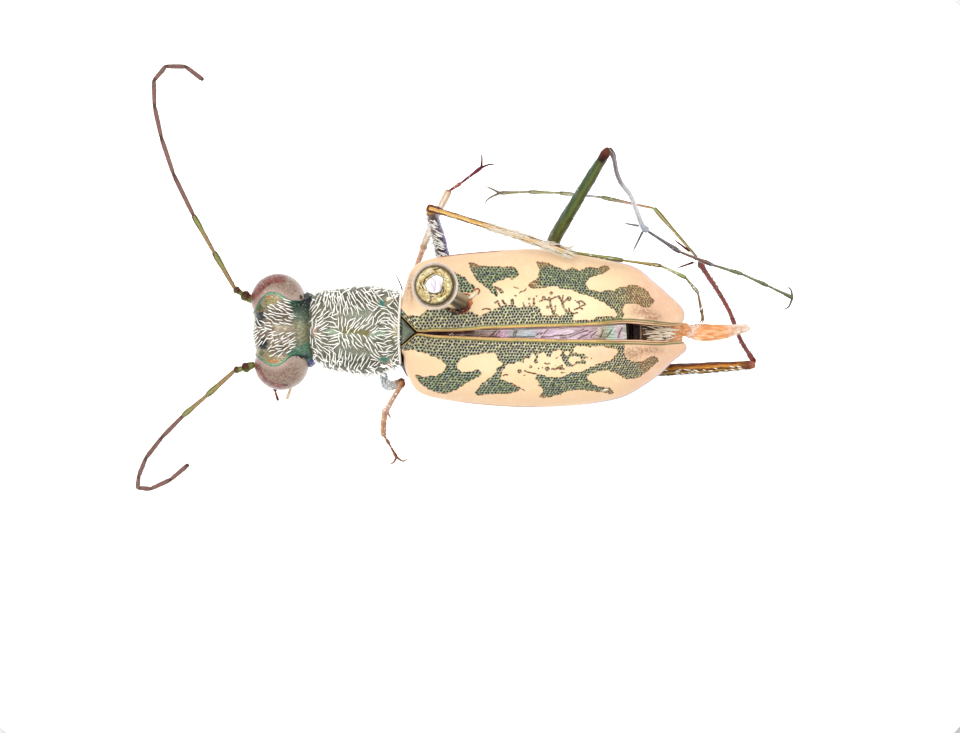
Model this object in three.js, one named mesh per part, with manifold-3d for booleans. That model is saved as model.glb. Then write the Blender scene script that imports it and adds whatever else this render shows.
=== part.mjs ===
// Pinned tiger beetle, life size, in millimetres.
// +X runs from head to tail, +Y to the beetle's right and +Z up.
// The origin is the middle of the underside of the foam block that holds the pin.
import * as THREE from 'three';
import { mergeVertices } from 'three/addons/utils/BufferGeometryUtils.js';
import Module from 'manifold-3d';

const wasm = await Module();
wasm.setup();

// Driving dimensions
const GAP = 0.3;
const LIMB = 0.25;
const BASE = { length: 28, width: 21.5, height: 3, corner: 1.2, bevel: 0.25 };
const PIN = { radius: 0.27, flange: 0.63, ring: 0.54, crown: 0.27, sunk: 2.1 };
const BACK_HEIGHT = 11.5;
const SCUTELLUM_TIP = [-1.8, 0.93];
const BODY_WIDTH = { pronotum: 2.4, thorax: 3.4, abdomen: 3.4 };
const SHELL = 0.5;
const EYE = { at: [-3.83, 0.92, -1.3], size: [0.72, 0.7, 0.74], cut: 1.0 };

// Places below are in the beetle's own frame. Its origin is the tip of the scutellum,
// at the height of the highest point of the wing cases.
const beetle = new THREE.Group();
beetle.position.set(SCUTELLUM_TIP[0], SCUTELLUM_TIP[1], BACK_HEIGHT);
const model = new THREE.Group();
model.add(beetle);

const COLOURS = {
  foam: [0xf4f3ef, 0.9, 0],
  pin: [0xb49a52, 0.3, 1],
  cuticle: [0x5f6f5c, 0.4, 0.5],
  eye: [0x8a7069, 0.35, 0],
  ivory: [0xd9b48a, 0.5, 0],
  palp: [0x7a5236, 0.5, 0],
  antenna: [0x6d5a50, 0.55, 0.1],
  antenna_base: [0x3f6a45, 0.35, 0.6],
  elytra: [0xe6bf9a, 0.45, 0.1],
  wing: [0xb9a7b5, 0.3, 0.1],
  genitalia: [0xdd8f5c, 0.5, 0],
  leg_green: [0x4d5b2e, 0.35, 0.5],
  leg_brown: [0x8a4f33, 0.5, 0.1],
};

function finish(slot) {
  const [color, roughness, metalness] = COLOURS[slot];
  return new THREE.MeshStandardMaterial({ color, roughness, metalness });
}

// Solids

function signedVolume(position, index) {
  const a = new THREE.Vector3();
  const b = new THREE.Vector3();
  const c = new THREE.Vector3();
  let volume = 0;
  for (let i = 0; i < index.length; i += 3) {
    a.fromBufferAttribute(position, index[i]);
    b.fromBufferAttribute(position, index[i + 1]);
    c.fromBufferAttribute(position, index[i + 2]);
    volume += a.dot(b.cross(c)) / 6;
  }
  return volume;
}

// A closed geometry as a solid, with its poles' flat triangles dropped and its faces out
function solid(geometry) {
  const bare = new THREE.BufferGeometry();
  bare.setAttribute('position', geometry.getAttribute('position'));
  if (geometry.index) {
    bare.setIndex(geometry.index);
  }
  const joined = mergeVertices(bare, 1e-4);
  const position = joined.getAttribute('position');
  const index = [];
  for (let i = 0; i < joined.index.count; i += 3) {
    const [a, b, c] = [0, 1, 2].map((k) => joined.index.getX(i + k));
    if (a !== b && b !== c && c !== a) {
      index.push(a, b, c);
    }
  }
  if (signedVolume(position, index) < 0) {
    index.reverse();
  }
  return new wasm.Manifold(new wasm.Mesh({
    numProp: 3,
    vertProperties: new Float32Array(position.array),
    triVerts: new Uint32Array(index),
  }));
}

function join(pieces) {
  return pieces.reduce((whole, piece) => whole.add(piece));
}

function cutAway(body, pieces) {
  return pieces.reduce((left, piece) => left.subtract(piece), body);
}

// The largest closed surface of a solid becomes the named mesh
function addNode(parent, name, slot, body) {
  const pieces = body.simplify(0.004).decompose();
  const largest = pieces.reduce((a, b) => (a.volume() > b.volume() ? a : b));
  const { vertProperties, triVerts } = largest.getMesh();
  const geometry = new THREE.BufferGeometry();
  geometry.setAttribute('position', new THREE.BufferAttribute(vertProperties, 3));
  geometry.setIndex(new THREE.BufferAttribute(triVerts, 1));
  geometry.computeVertexNormals();
  const mesh = new THREE.Mesh(geometry, finish(slot));
  mesh.name = name;
  parent.add(mesh);
}

function vector(point) {
  return new THREE.Vector3(...point);
}

function mirrored(points, side) {
  return points.map(([x, y, z]) => [x, y * side, z]);
}

// Smooth value along x through [x, value] pairs
function along(pairs, x) {
  const last = pairs.length - 1;
  if (x <= pairs[0][0]) {
    return pairs[0][1];
  }
  if (x >= pairs[last][0]) {
    return pairs[last][1];
  }
  const i = pairs.findIndex(([edge]) => edge > x) - 1;
  const [x0, y0] = pairs[i];
  const [x1, y1] = pairs[i + 1];
  return y0 + (y1 - y0) * THREE.MathUtils.smoothstep(x, x0, x1);
}

// A limb is a turned profile bent along a smooth path. Its girth is a list of
// [fraction of the length, radius]. A grown limb is the clear space around it.
function limb({ path, girth, sides = 8 }, grow = 0) {
  const points = path.map(vector);
  const curve = points.length === 2
    ? new THREE.LineCurve3(...points)
    : new THREE.CatmullRomCurve3(points, false, 'centripetal');
  const length = curve.getLength();
  const rows = girth.map(([t, radius]) => [t * length, radius + grow]);
  rows[0][0] -= grow;
  rows[rows.length - 1][0] += grow;
  const profile = [
    new THREE.Vector2(0, rows[0][0]),
    ...rows.map(([s, radius]) => new THREE.Vector2(radius, s)),
    new THREE.Vector2(0, rows[rows.length - 1][0]),
  ];
  const geometry = new THREE.LatheGeometry(profile, sides);
  bend(geometry, curve, length, rows.map(([s]) => s));
  return solid(geometry);
}

function bend(geometry, curve, length, stations) {
  const frames = new Map();
  let tangent = curve.getTangentAt(0);
  let across = new THREE.Vector3(-tangent.y, tangent.x, 0);
  if (across.lengthSq() < 1e-4) {
    across.set(1, 0, 0);
  }
  across.addScaledVector(tangent, -across.dot(tangent)).normalize();
  for (const s of stations) {
    const inside = THREE.MathUtils.clamp(s / length, 0, 1);
    const next = curve.getTangentAt(inside);
    const turn = new THREE.Quaternion().setFromUnitVectors(tangent, next);
    across = across.clone().applyQuaternion(turn);
    tangent = next;
    const centre = curve.getPointAt(inside).addScaledVector(next, s - inside * length);
    frames.set(Math.fround(s), { centre, across, up: next.clone().cross(across) });
  }
  const position = geometry.getAttribute('position');
  const point = new THREE.Vector3();
  for (let i = 0; i < position.count; i += 1) {
    const { centre, across: side, up } = frames.get(position.getY(i));
    point.copy(centre);
    point.addScaledVector(side, position.getX(i));
    point.addScaledVector(up, position.getZ(i));
    position.setXYZ(i, point.x, point.y, point.z);
  }
}

function ball(centre, size, sides = 16, grow = 0) {
  const geometry = new THREE.SphereGeometry(1, sides, Math.round(sides * 0.7));
  geometry.rotateX(Math.PI / 2);
  geometry.scale(...size.map((radius) => radius + grow));
  geometry.translate(...centre);
  return solid(geometry);
}

function block(low, high, grow = 0) {
  const size = low.map((value, k) => high[k] - value + 2 * grow);
  const geometry = new THREE.BoxGeometry(...size);
  geometry.translate(...low.map((value, k) => (value + high[k]) / 2));
  return solid(geometry);
}

// A barrel runs along X. Its half width, top and bottom are [x, value] pairs, and its
// section is a superellipse, rounder or squarer by its power.
function barrel({ from, to, half, top, bottom, power = 2.4, sides = 20, rows = 14, middle = 0 }) {
  const steps = Array.from({ length: rows + 1 }, (_, i) => i / rows);
  const profile = [
    new THREE.Vector2(0, 0),
    ...steps.map((t) => new THREE.Vector2(1, t)),
    new THREE.Vector2(0, 1),
  ];
  const geometry = new THREE.LatheGeometry(profile, sides);
  const position = geometry.getAttribute('position');
  const round = (value) => Math.sign(value) * Math.abs(value) ** (2 / power);
  for (let i = 0; i < position.count; i += 1) {
    const x = from + (to - from) * position.getY(i);
    const [high, low] = [along(top, x), along(bottom, x)];
    const centre = (high + low) / 2;
    const y = middle + along(half, x) * round(position.getX(i));
    const z = centre + ((high - low) / 2) * round(position.getZ(i));
    position.setXYZ(i, x, y, z);
  }
  return solid(geometry);
}

// A sheet is a box with many cells, moved by place(u, v, w) with w 0 below and 1 above
function sheet(cellsAlong, cellsAcross, side, place) {
  const geometry = new THREE.BoxGeometry(1, 1, 1, cellsAlong, cellsAcross, 1);
  const position = geometry.getAttribute('position');
  for (let i = 0; i < position.count; i += 1) {
    const [u, v, w] = [position.getX(i), position.getY(i), position.getZ(i)].map((k) => k + 0.5);
    const [x, y, z] = place(u, v, w);
    position.setXYZ(i, x, y, z);
  }
  return solid(geometry);
}

function planCurve(points) {
  return new THREE.CatmullRomCurve3(points.map(([x, y]) => vector([x, y, 0])), false, 'centripetal');
}

// Stand: a pale foam block, and the insect pin, which leans a little
const PIN_PATH = [[0.57, 1.31, 3.9], [2.81, -0.06, 3 - BACK_HEIGHT]];
const pinAxis = vector(PIN_PATH[1]).sub(vector(PIN_PATH[0])).normalize();
const pinFoot = vector(PIN_PATH[1]).addScaledVector(pinAxis, PIN.sunk).toArray();
const pinShaft = { path: [PIN_PATH[0], pinFoot], girth: [[0, PIN.radius], [0.97, PIN.radius], [1, 0.08]], sides: 12 };
const pinClearance = limb(pinShaft, GAP);

function pin() {
  const head = [[0, 0], [0, 0.1], [PIN.flange, 0.1], [PIN.flange, 0], [PIN.ring, -0.12], [PIN.crown, -0.34], [0, -0.34]];
  const geometry = new THREE.LatheGeometry(head.slice(1).map(([r, h]) => new THREE.Vector2(r, -h)), 20);
  geometry.applyQuaternion(new THREE.Quaternion().setFromUnitVectors(vector([0, -1, 0]), pinAxis));
  geometry.translate(...PIN_PATH[0]);
  return limb(pinShaft).add(solid(geometry));
}

function base() {
  const [x, y, r] = [BASE.length / 2 - BASE.bevel, BASE.width / 2 - BASE.bevel, BASE.corner];
  const outline = new THREE.Shape();
  outline.absarc(x - r, y - r, r, 0, Math.PI / 2);
  outline.absarc(r - x, y - r, r, Math.PI / 2, Math.PI);
  outline.absarc(r - x, r - y, r, Math.PI, Math.PI * 1.5);
  outline.absarc(x - r, r - y, r, Math.PI * 1.5, Math.PI * 2);
  const geometry = new THREE.ExtrudeGeometry(outline, {
    depth: BASE.height - 2 * BASE.bevel,
    bevelSize: BASE.bevel,
    bevelThickness: BASE.bevel,
    bevelSegments: 2,
    curveSegments: 4,
  });
  geometry.translate(0, 0, BASE.bevel);
  const hole = pinClearance.translate([SCUTELLUM_TIP[0], SCUTELLUM_TIP[1], BACK_HEIGHT]);
  return solid(geometry).subtract(hole);
}

// Head: bent down, so that the face and the jaws point at the ground
const LABRUM = { low: [-4.53, -0.6, -3.35], high: [-4.13, 0.6, -2.7] };

function eyeBall(side, grow = 0) {
  const [x, y, z] = EYE.at;
  const whole = ball([x, y * side, z], EYE.size, 16, grow);
  const reach = [EYE.cut - grow, 2.5].map((value) => value * side).sort((a, b) => a - b);
  return whole.intersect(block([x - 2, reach[0], z - 2], [x + 2, reach[1], z + 2]));
}

function head() {
  const cranium = ball([-3.85, 0, -1.5], [0.66, 1.05, 1.1], 20);
  const face = ball([-3.92, 0, -2.3], [0.56, 0.78, 0.66], 16);
  const neck = limb({ path: [[-3.7, 0, -1.35], [-3.22, 0, -1.4]], girth: [[0, 0.88], [1, 0.9]], sides: 16 });
  const ridges = [1, -1].map((side) => limb({
    path: mirrored([[-4.3, 0.5, -0.85], [-3.95, 0.72, -0.52], [-3.45, 0.72, -0.6]], side),
    girth: [[0, 0.12], [0.5, 0.2], [1, 0.12]],
  }));
  const gaps = [eyeBall(1, GAP), eyeBall(-1, GAP), block(LABRUM.low, LABRUM.high, GAP)];
  return cutAway(join([cranium, face, neck, ...ridges]), gaps);
}

function labrum() {
  const [x0, , z0] = LABRUM.low;
  const [x1, y1, z1] = LABRUM.high;
  return sheet(2, 8, 1, (u, v, w) => {
    const y = (2 * v - 1) * y1;
    const curve = 0.12 * (y / y1) ** 2;
    const tooth = 0.1 * Math.abs(Math.cos(v * Math.PI * 3));
    return [x0 + curve + (x1 - x0) * u, y, z0 + tooth + (z1 - z0 - tooth) * w];
  });
}

const MANDIBLE = {
  path: [[-3.66, 0.5, -3.08], [-3.7, 0.68, -3.5], [-3.85, 0.5, -3.95], [-4.0, 0.24, -4.25]],
  girth: [[0, 0.25], [0.4, 0.25], [0.75, 0.17], [1, 0.05]],
  tooth: [[-3.72, 0.62, -3.7], [-3.9, 0.25, -3.65]],
};

function mandible(side) {
  const blade = limb({ path: mirrored(MANDIBLE.path, side), girth: MANDIBLE.girth });
  const tooth = limb({ path: mirrored(MANDIBLE.tooth, side), girth: [[0, 0.16], [1, 0.05]], sides: 6 });
  return blade.add(tooth);
}

// The left palps are spread to the side, the right ones are folded under the face
const PALPS = {
  maxillary_palp_left: [[-3.72, -0.98, -2.75], [-3.9, -1.3, -3.1], [-4.0, -1.58, -3.2], [-3.88, -1.9, -3.25]],
  maxillary_palp_right: [[-3.72, 0.98, -2.75], [-3.95, 1.2, -3.2], [-4.1, 1.15, -3.7], [-4.2, 0.95, -4.0]],
  labial_palp_left: [[-3.25, -0.45, -3.1], [-3.2, -0.95, -3.5], [-3.32, -1.4, -3.55], [-3.46, -1.78, -3.5]],
  labial_palp_right: [[-3.25, 0.45, -3.1], [-3.1, 0.75, -3.55], [-3.2, 0.8, -4.0], [-3.4, 0.65, -4.35]],
};
const PALP_GIRTH = [[0, 0.2], [0.3, 0.22], [0.36, 0.19], [0.66, 0.22], [0.7, 0.18], [0.95, 0.17], [1, 0.08]];

// Antennae: joints of the eleven segments, from the socket to the tip
const ANTENNAE = {
  right: [
    [-4.62, 0.92, -1.4], [-4.78, 1.07, -1.35], [-5.0, 1.22, -1.25], [-5.58, 2.23, -0.55],
    [-6.15, 3.25, 0.05], [-6.71, 4.4, 0.3], [-7.05, 5.42, 0.1], [-7.24, 6.29, -0.5],
    [-7.26, 7.01, -1.0], [-6.93, 7.41, -1.5], [-6.38, 7.4, -1.9], [-5.9, 7.04, -2.2],
  ],
  left: [
    [-4.62, -0.92, -1.4], [-4.76, -0.98, -1.4], [-5.0, -1.03, -1.45], [-5.77, -1.72, -2.1],
    [-6.43, -2.28, -2.9], [-7.03, -2.89, -3.8], [-7.48, -3.47, -4.5], [-7.68, -3.97, -5.1],
    [-7.71, -4.3, -5.6], [-7.35, -4.33, -5.9], [-6.79, -4.07, -5.7], [-6.31, -3.66, -5.4],
  ],
};
const ANTENNA_PARTS = { base: [0, 2], middle: [2, 6], tip: [6, 11] };

// Each segment widens to its outer end
function segmentGirth(joints, radius, endRadius) {
  const lengths = joints.slice(1).map((point, i) => vector(point).distanceTo(vector(joints[i])));
  const total = lengths.reduce((sum, length) => sum + length, 0);
  const girth = [];
  let done = 0;
  lengths.forEach((length, i) => {
    const size = THREE.MathUtils.lerp(radius, endRadius, i / lengths.length);
    const outer = THREE.MathUtils.lerp(radius, endRadius, (i + 1) / lengths.length);
    girth.push([done / total + (i ? 0.012 : 0), size * 0.9]);
    done += length;
    girth.push([done / total, outer * 1.04]);
  });
  return girth;
}

function antennaPart(side, part) {
  const [first, last] = ANTENNA_PARTS[part];
  const joints = ANTENNAE[side].slice(first, last + 1).map(vector);
  const inward = joints[1].clone().sub(joints[0]).setLength(first ? GAP / 2 : 0);
  const end = joints.length - 1;
  const back = joints[end - 1].clone().sub(joints[end]).setLength(part === 'tip' ? 0 : GAP / 2);
  joints[0].add(inward);
  joints[end].add(back);
  const path = joints.map((point) => point.toArray());
  const endRadius = part === 'tip' ? LIMB * 0.5 : LIMB;
  return limb({ path, girth: segmentGirth(path, LIMB, endRadius), sides: 7 });
}

// Trunk
const REAR_OF_PRONOTUM = -0.5;

function pronotum() {
  const half = BODY_WIDTH.pronotum / 2;
  return barrel({
    from: -2.9,
    to: REAR_OF_PRONOTUM,
    middle: 0.08,
    half: [[-2.9, half * 0.84], [-2.62, half * 0.93], [-2.36, half * 0.92], [-1.5, half], [-0.86, half * 0.93], [-0.5, half * 0.88]],
    top: [[-2.9, -0.5], [-2.62, -0.3], [-2.36, -0.38], [-1.6, -0.18], [-0.86, -0.36], [-0.72, -0.26], [-0.5, -0.3]],
    bottom: [[-2.9, -2.2], [-2.36, -2.5], [-1.2, -2.75], [-0.5, -2.7]],
    rows: 16,
  });
}

const SCUTELLUM = { front: -0.2, tip: 0.45, half: 0.36, top: -0.06, bottom: -0.5 };

function scutellum(grow = 0) {
  const { front, tip, half, top, bottom } = SCUTELLUM;
  const outline = new THREE.Shape([
    new THREE.Vector2(front - grow, half + grow * 1.3),
    new THREE.Vector2(front - grow, -half - grow * 1.3),
    new THREE.Vector2(tip + grow * 1.6, 0),
  ]);
  const depth = top - bottom + 2 * grow;
  const geometry = new THREE.ExtrudeGeometry(outline, { depth, bevelEnabled: false });
  geometry.translate(0, 0, bottom - grow);
  return solid(geometry);
}

function thorax() {
  const half = BODY_WIDTH.thorax / 2;
  return barrel({
    from: REAR_OF_PRONOTUM + GAP,
    to: 3.5,
    half: [[-0.2, half * 0.72], [0.6, half * 0.93], [2.2, half], [3.5, half]],
    top: [[-0.2, -0.85], [0.9, -0.85], [1.8, -1.62], [3.5, -1.65]],
    bottom: [[-0.2, -2.6], [0.8, -2.95], [2.6, -3.05], [3.5, -2.95]],
    rows: 14,
  });
}

// The underside steps at each sternite
const ABDOMEN = { from: 3.8, to: 7.2, rings: 6 };

function abdomen() {
  const half = BODY_WIDTH.abdomen / 2;
  const width = [[3.8, half], [5.2, half * 0.96], [6.4, half * 0.68], [7.2, half * 0.3]];
  const belly = [[3.8, -2.95], [5.4, -2.85], [6.5, -2.6], [7.2, -2.25]];
  const rings = [];
  const length = (ABDOMEN.to - ABDOMEN.from) / ABDOMEN.rings;
  for (let ring = 0; ring < ABDOMEN.rings; ring += 1) {
    const start = ABDOMEN.from + ring * length;
    const end = start + length;
    const tuck = ring ? 0.95 : 1;
    rings.push([start + 0.001, tuck], [start + length * 0.3, 1], [end, 1]);
  }
  const stepped = (pairs, depth) => rings.map(([x, tuck]) => [x, along(pairs, x) * (1 + depth * (tuck - 1))]);
  return barrel({
    ...ABDOMEN,
    half: stepped(width, 1),
    top: [[3.8, -1.65], [6.2, -1.65], [6.7, -1.4], [7.2, -1.6]],
    bottom: stepped(belly, 0.8),
    rows: ABDOMEN.rings * 3,
  });
}

// The male's aedeagus stands out behind, flat and fibrous
function aedeagus() {
  return limb({
    path: [[7.5, 0.1, -1.92], [7.75, 0.1, -1.95], [8.2, 0.03, -1.95], [8.9, 0.07, -1.88], [9.36, 0.14, -1.8]],
    girth: [[0, 0.18], [0.12, 0.2], [0.25, 0.27], [0.5, 0.27], [0.8, 0.18], [1, 0.06]],
    sides: 10,
  });
}

// Wing cases: vaulted shells between the suture and the side margin, a little parted
const ELYTRA = {
  right: {
    suture: [[-0.05, 0.15], [1.5, 0.15], [3.5, 0.17], [5.1, 0.25], [6.3, 0.33], [7.25, 0.27]],
    margin: [
      [-0.2, 1.03], [-0.2, 1.6], [0.15, 2.0], [1.5, 2.22], [3.0, 2.34],
      [4.6, 2.2], [6.2, 1.8], [6.75, 1.35], [7.3, 0.82], [7.5, 0.5], [7.4, 0.36],
    ],
  },
  left: {
    suture: [[-0.05, -0.15], [1.5, -0.17], [3.5, -0.18], [5.1, -0.27], [6.3, -0.36], [7.3, -0.3]],
    margin: [
      [-0.2, -0.95], [-0.15, -1.4], [0.15, -1.68], [1.5, -1.96], [3.4, -2.07],
      [4.8, -1.98], [6.1, -1.65], [6.8, -1.1], [7.4, -0.68], [7.56, -0.42], [7.46, -0.34],
    ],
  },
};
const CREST = [[-0.2, -0.16], [0.8, 0], [5.0, 0], [6.3, -0.2], [7.6, -0.85]];
const RIM = [[-0.2, -0.85], [1.2, -0.98], [5.6, -1.02], [7.6, -1.15]];

function elytronTop(x, v) {
  const crest = along(CREST, x);
  return along(RIM, x) + (crest - along(RIM, x)) * (1 - v ** 2.4) ** 0.7;
}

function elytron(name) {
  const { suture, margin } = ELYTRA[name];
  const [inner, outer] = [planCurve(suture), planCurve(margin)];
  const shell = sheet(24, 8, 1, (u, v, w) => {
    const [a, b] = [inner.getPointAt(u), outer.getPointAt(u)];
    const across = Math.sin((v * Math.PI) / 2);
    const { x, y } = a.lerp(b, across);
    const thickness = SHELL * (1 - 0.4 * across ** 4);
    return [x, y, elytronTop(x, across * 0.999) - thickness * (1 - w)];
  });
  return cutAway(shell, [scutellum(GAP), pinClearance]);
}

// Hind wings: folded flat over the abdomen, the right one across the middle.
// Their main veins stand up as ridges of the membrane.
const WINGS = {
  right: { inner: [[1.9, -0.1], [3.0, -0.4], [5.0, -0.42], [6.1, -0.1]], outer: [[1.5, 1.2], [3.0, 1.4], [5.0, 1.25], [6.2, 0.35]] },
  left: { inner: [[1.6, -0.6], [3.0, -0.72], [5.0, -0.74], [6.0, -0.62]], outer: [[1.5, -1.2], [3.0, -1.4], [5.0, -1.3], [6.0, -0.95]] },
};
const VEINS = { at: [0.12, 0.36, 0.62, 0.88], width: 0.05, height: 0.07 };

function hindwing(name) {
  const { inner, outer } = WINGS[name];
  const [near, far] = [planCurve(inner), planCurve(outer)];
  return sheet(14, 16, 1, (u, v, w) => {
    const { x, y } = near.getPointAt(u).lerp(far.getPointAt(u), v);
    const ridge = Math.max(...VEINS.at.map((vein) => 1 - Math.abs(v - vein) / VEINS.width), 0);
    const top = -0.9 - 0.1 * (y / 1.4) ** 2 + VEINS.height * ridge - 0.08 * u ** 3;
    return [x, y, w ? top : -1.33];
  });
}

// Legs: joints in order from the body, in the beetle's frame
const LEGS = {
  front_right: {
    slot: 'leg_brown',
    coxa: [[-1.03, 0.5, -2.45], [-0.95, 0.62, -3.05]],
    femur: [[-0.9, 0.66, -3.4], [-0.6, 0.72, -4.5], [-0.25, 0.83, -5.8]],
    tibia: [[-0.2, 1.0, -5.95], [0.0, 1.7, -4.6], [0.22, 2.44, -3.15]],
    tarsus: [[0.24, 2.55, -3.12], [0.47, 3.0, -3.15], [0.69, 3.47, -3.2], [0.9, 3.92, -3.25], [1.28, 4.15, -3.4], [1.75, 4.6, -3.5]],
    pads: 0.3,
    claws: [[1.83, 4.94, -3.6], [2.19, 4.67, -3.6]],
    spurs: [[0.45, 2.6, -3.5]],
  },
  front_left: {
    slot: 'leg_brown',
    coxa: [[-1.03, -0.5, -2.3], [-0.98, -1.12, -3.0]],
    femur: [[-0.9, -1.3, -3.55], [-0.8, -1.4, -3.0], [-0.5, -1.48, -1.85]],
    tibia: [[-0.42, -1.95, -1.8], [-0.6, -2.15, -3.0], [-0.83, -2.19, -4.35]],
    tarsus: [[-0.85, -2.22, -4.45], [-0.88, -2.44, -4.75], [-0.89, -2.64, -5.0], [-0.92, -2.81, -5.2], [-0.72, -3.06, -5.5], [-0.53, -3.42, -5.7]],
    pads: 0.28,
    claws: [[-0.71, -3.6, -5.95], [-0.22, -3.5, -5.9]],
    spurs: [[-0.6, -2.45, -4.7]],
  },
  middle_right: {
    slot: 'leg_brown',
    coxa: [[1.31, 0.42, -2.85], [1.14, 0.9, -3.1]],
    femur: [[1.08, 1.2, -3.1], [0.8, 2.1, -2.3], [0.66, 2.62, -1.55], [0.42, 3.47, 0.8]],
    tibia: [[0.44, 3.44, 0.85], [2.1, 2.95, 0.45], [4.15, 2.28, 0.02]],
    tarsus: [[4.28, 2.25, 0.0], [5.78, 2.1, -0.1], [6.83, 1.9, -0.3], [7.53, 1.53, -0.55], [7.86, 1.1, -0.75], [7.95, 0.6, -0.95]],
    claws: [[7.86, 0.28, -1.02], [8.1, 0.3, -1.02]],
    spurs: [[4.5, 2.62, -0.35]],
  },
  middle_left: {
    slot: 'leg_brown',
    coxa: [[1.31, -0.42, -2.85], [1.19, -0.85, -3.15]],
    femur: [[1.2, -1.0, -3.5], [1.5, -1.25, -5.0], [1.8, -1.42, -6.4]],
    tibia: [[1.92, -1.42, -6.65], [3.6, -1.1, -5.95], [5.4, -0.82, -5.2]],
    tarsus: [[5.5, -0.8, -5.2], [6.75, -0.53, -5.9], [7.1, -0.42, -6.9], [6.9, -0.33, -7.6], [6.5, -0.28, -7.85], [5.95, -0.25, -7.9]],
    claws: [[5.65, -0.42, -8.02], [5.65, -0.08, -8.02]],
    spurs: [[5.75, -1.1, -5.5]],
  },
  hind_right: {
    slot: 'leg_green',
    coxa: [[3.06, 0.5, -2.9], [3.4, 0.85, -3.15]],
    femur: [[3.5, 1.1, -3.2], [3.61, 1.69, -2.95], [3.8, 2.45, -2.1], [4.44, 3.56, -0.7], [5.36, 5.08, 1.1]],
    tibia: [[5.42, 4.95, 0.95], [5.69, 4.17, -0.8], [6.06, 3.5, -2.5], [6.44, 2.85, -4.15]],
    tarsus: [[6.54, 2.78, -4.25], [7.39, 2.24, -5.2], [8.25, 1.92, -6.0], [9.11, 1.65, -6.8], [9.79, 1.32, -7.3], [10.4, 1.0, -7.7]],
    claws: [[10.29, 1.27, -7.95], [10.24, 0.68, -7.95]],
    spurs: [[5.78, 3.04, -4.4], [6.01, 2.19, -4.5]],
  },
  hind_left: {
    slot: 'leg_green',
    coxa: [[3.19, -0.5, -2.9], [3.5, -0.85, -3.2]],
    femur: [[3.85, -1.02, -3.55], [6.53, -1.03, -3.35], [9.35, -0.88, -2.95]],
    tibia: [[9.42, -0.75, -3.0], [8.6, 0.7, -5.45], [7.8, 2.12, -7.6]],
    tarsus: [[7.7, 2.26, -7.72], [6.61, 3.46, -7.75], [5.14, 3.76, -7.8], [4.03, 3.89, -7.85], [3.17, 3.92, -7.88], [2.35, 3.89, -7.9]],
    claws: [[1.94, 4.07, -8.0], [1.94, 3.56, -8.0]],
    spurs: [[7.14, 2.61, -7.7], [7.22, 1.79, -7.7]],
  },
};
const GIRTH = {
  coxa: [[0, 0.36], [0.6, 0.34], [1, 0.26]],
  femur: [[0, 0.24], [0.08, 0.28], [0.3, 0.29], [0.7, 0.26], [0.95, 0.25], [1, 0.2]],
  tibia: [[0, 0.2], [0.05, 0.25], [0.5, 0.24], [0.94, 0.26], [1, 0.22]],
};

function spike(from, to, radius) {
  return limb({ path: [from, to], girth: [[0, radius], [0.6, radius * 0.75], [1, 0.04]], sides: 5 });
}

function hook(from, to) {
  const middle = vector(from).lerp(vector(to), 0.55);
  middle.addScaledVector(vector(from).sub(middle).setLength(0.05), 1);
  middle.z += 0.08;
  return limb({ path: [from, middle.toArray(), to], girth: [[0, 0.14], [0.5, 0.1], [1, 0.04]], sides: 5 });
}

function tarsusGirth(joints, pads) {
  const girth = segmentGirth(joints, LIMB, LIMB * 0.9);
  const padded = pads ? 3 : 0;
  return girth.map(([t, radius], i) => [t, i < padded * 2 && i > 0 ? Math.max(radius, pads) : radius]);
}

// Each piece of a leg is cut clear of the one that carries it
function addLeg(name, leg, bodySolids) {
  const coxa = { path: leg.coxa, girth: GIRTH.coxa };
  const femur = { path: leg.femur, girth: GIRTH.femur };
  const tibia = { path: leg.tibia, girth: GIRTH.tibia };
  const tarsus = { path: leg.tarsus, girth: tarsusGirth(leg.tarsus, leg.pads) };
  const ankle = leg.tibia[leg.tibia.length - 1];
  const foot = leg.tarsus[leg.tarsus.length - 1];
  const spurs = leg.spurs.map((tip) => spike(ankle, tip, 0.14));
  const claws = leg.claws.map((tip) => hook(foot, tip));
  const pieces = {
    coxa: cutAway(limb(coxa), [pinClearance]),
    femur: cutAway(limb(femur), [limb(coxa, GAP)]),
    tibia: cutAway(join([limb(tibia), ...spurs]), [limb(femur, GAP)]),
    tarsus: cutAway(join([limb(tarsus), ...claws]), [limb(tibia, GAP), ...leg.spurs.map((tip) => spike(ankle, tip, 0.14 + GAP))]),
  };
  for (const [part, body] of Object.entries(pieces)) {
    addNode(beetle, `${part}_${name}`, leg.slot, body);
  }
  bodySolids.push(limb(coxa, GAP));
}

// Assembly
addNode(model, 'stand_base', 'foam', base());
addNode(beetle, 'stand_pin', 'pin', pin());

const coxaHollows = [];
for (const [name, leg] of Object.entries(LEGS)) {
  addLeg(name, leg, coxaHollows);
}

addNode(beetle, 'head', 'cuticle', head());
addNode(beetle, 'labrum', 'ivory', labrum());
for (const [name, side] of [['right', 1], ['left', -1]]) {
  addNode(beetle, `eye_${name}`, 'eye', eyeBall(side));
  addNode(beetle, `mandible_${name}`, 'ivory', mandible(side));
  for (const part of Object.keys(ANTENNA_PARTS)) {
    addNode(beetle, `antenna_${name}_${part}`, part === 'tip' ? 'antenna' : 'antenna_base', antennaPart(name, part));
  }
  addNode(beetle, `elytron_${name}`, 'elytra', elytron(name));
  addNode(beetle, `hindwing_${name}`, 'wing', cutAway(hindwing(name), [pinClearance]));
}
for (const [name, path] of Object.entries(PALPS)) {
  addNode(beetle, name, 'palp', limb({ path, girth: PALP_GIRTH, sides: 6 }));
}
addNode(beetle, 'pronotum', 'cuticle', cutAway(pronotum(), coxaHollows));
addNode(beetle, 'scutellum', 'cuticle', scutellum());
addNode(beetle, 'thorax', 'cuticle', cutAway(thorax(), [...coxaHollows, pinClearance]));
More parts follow.
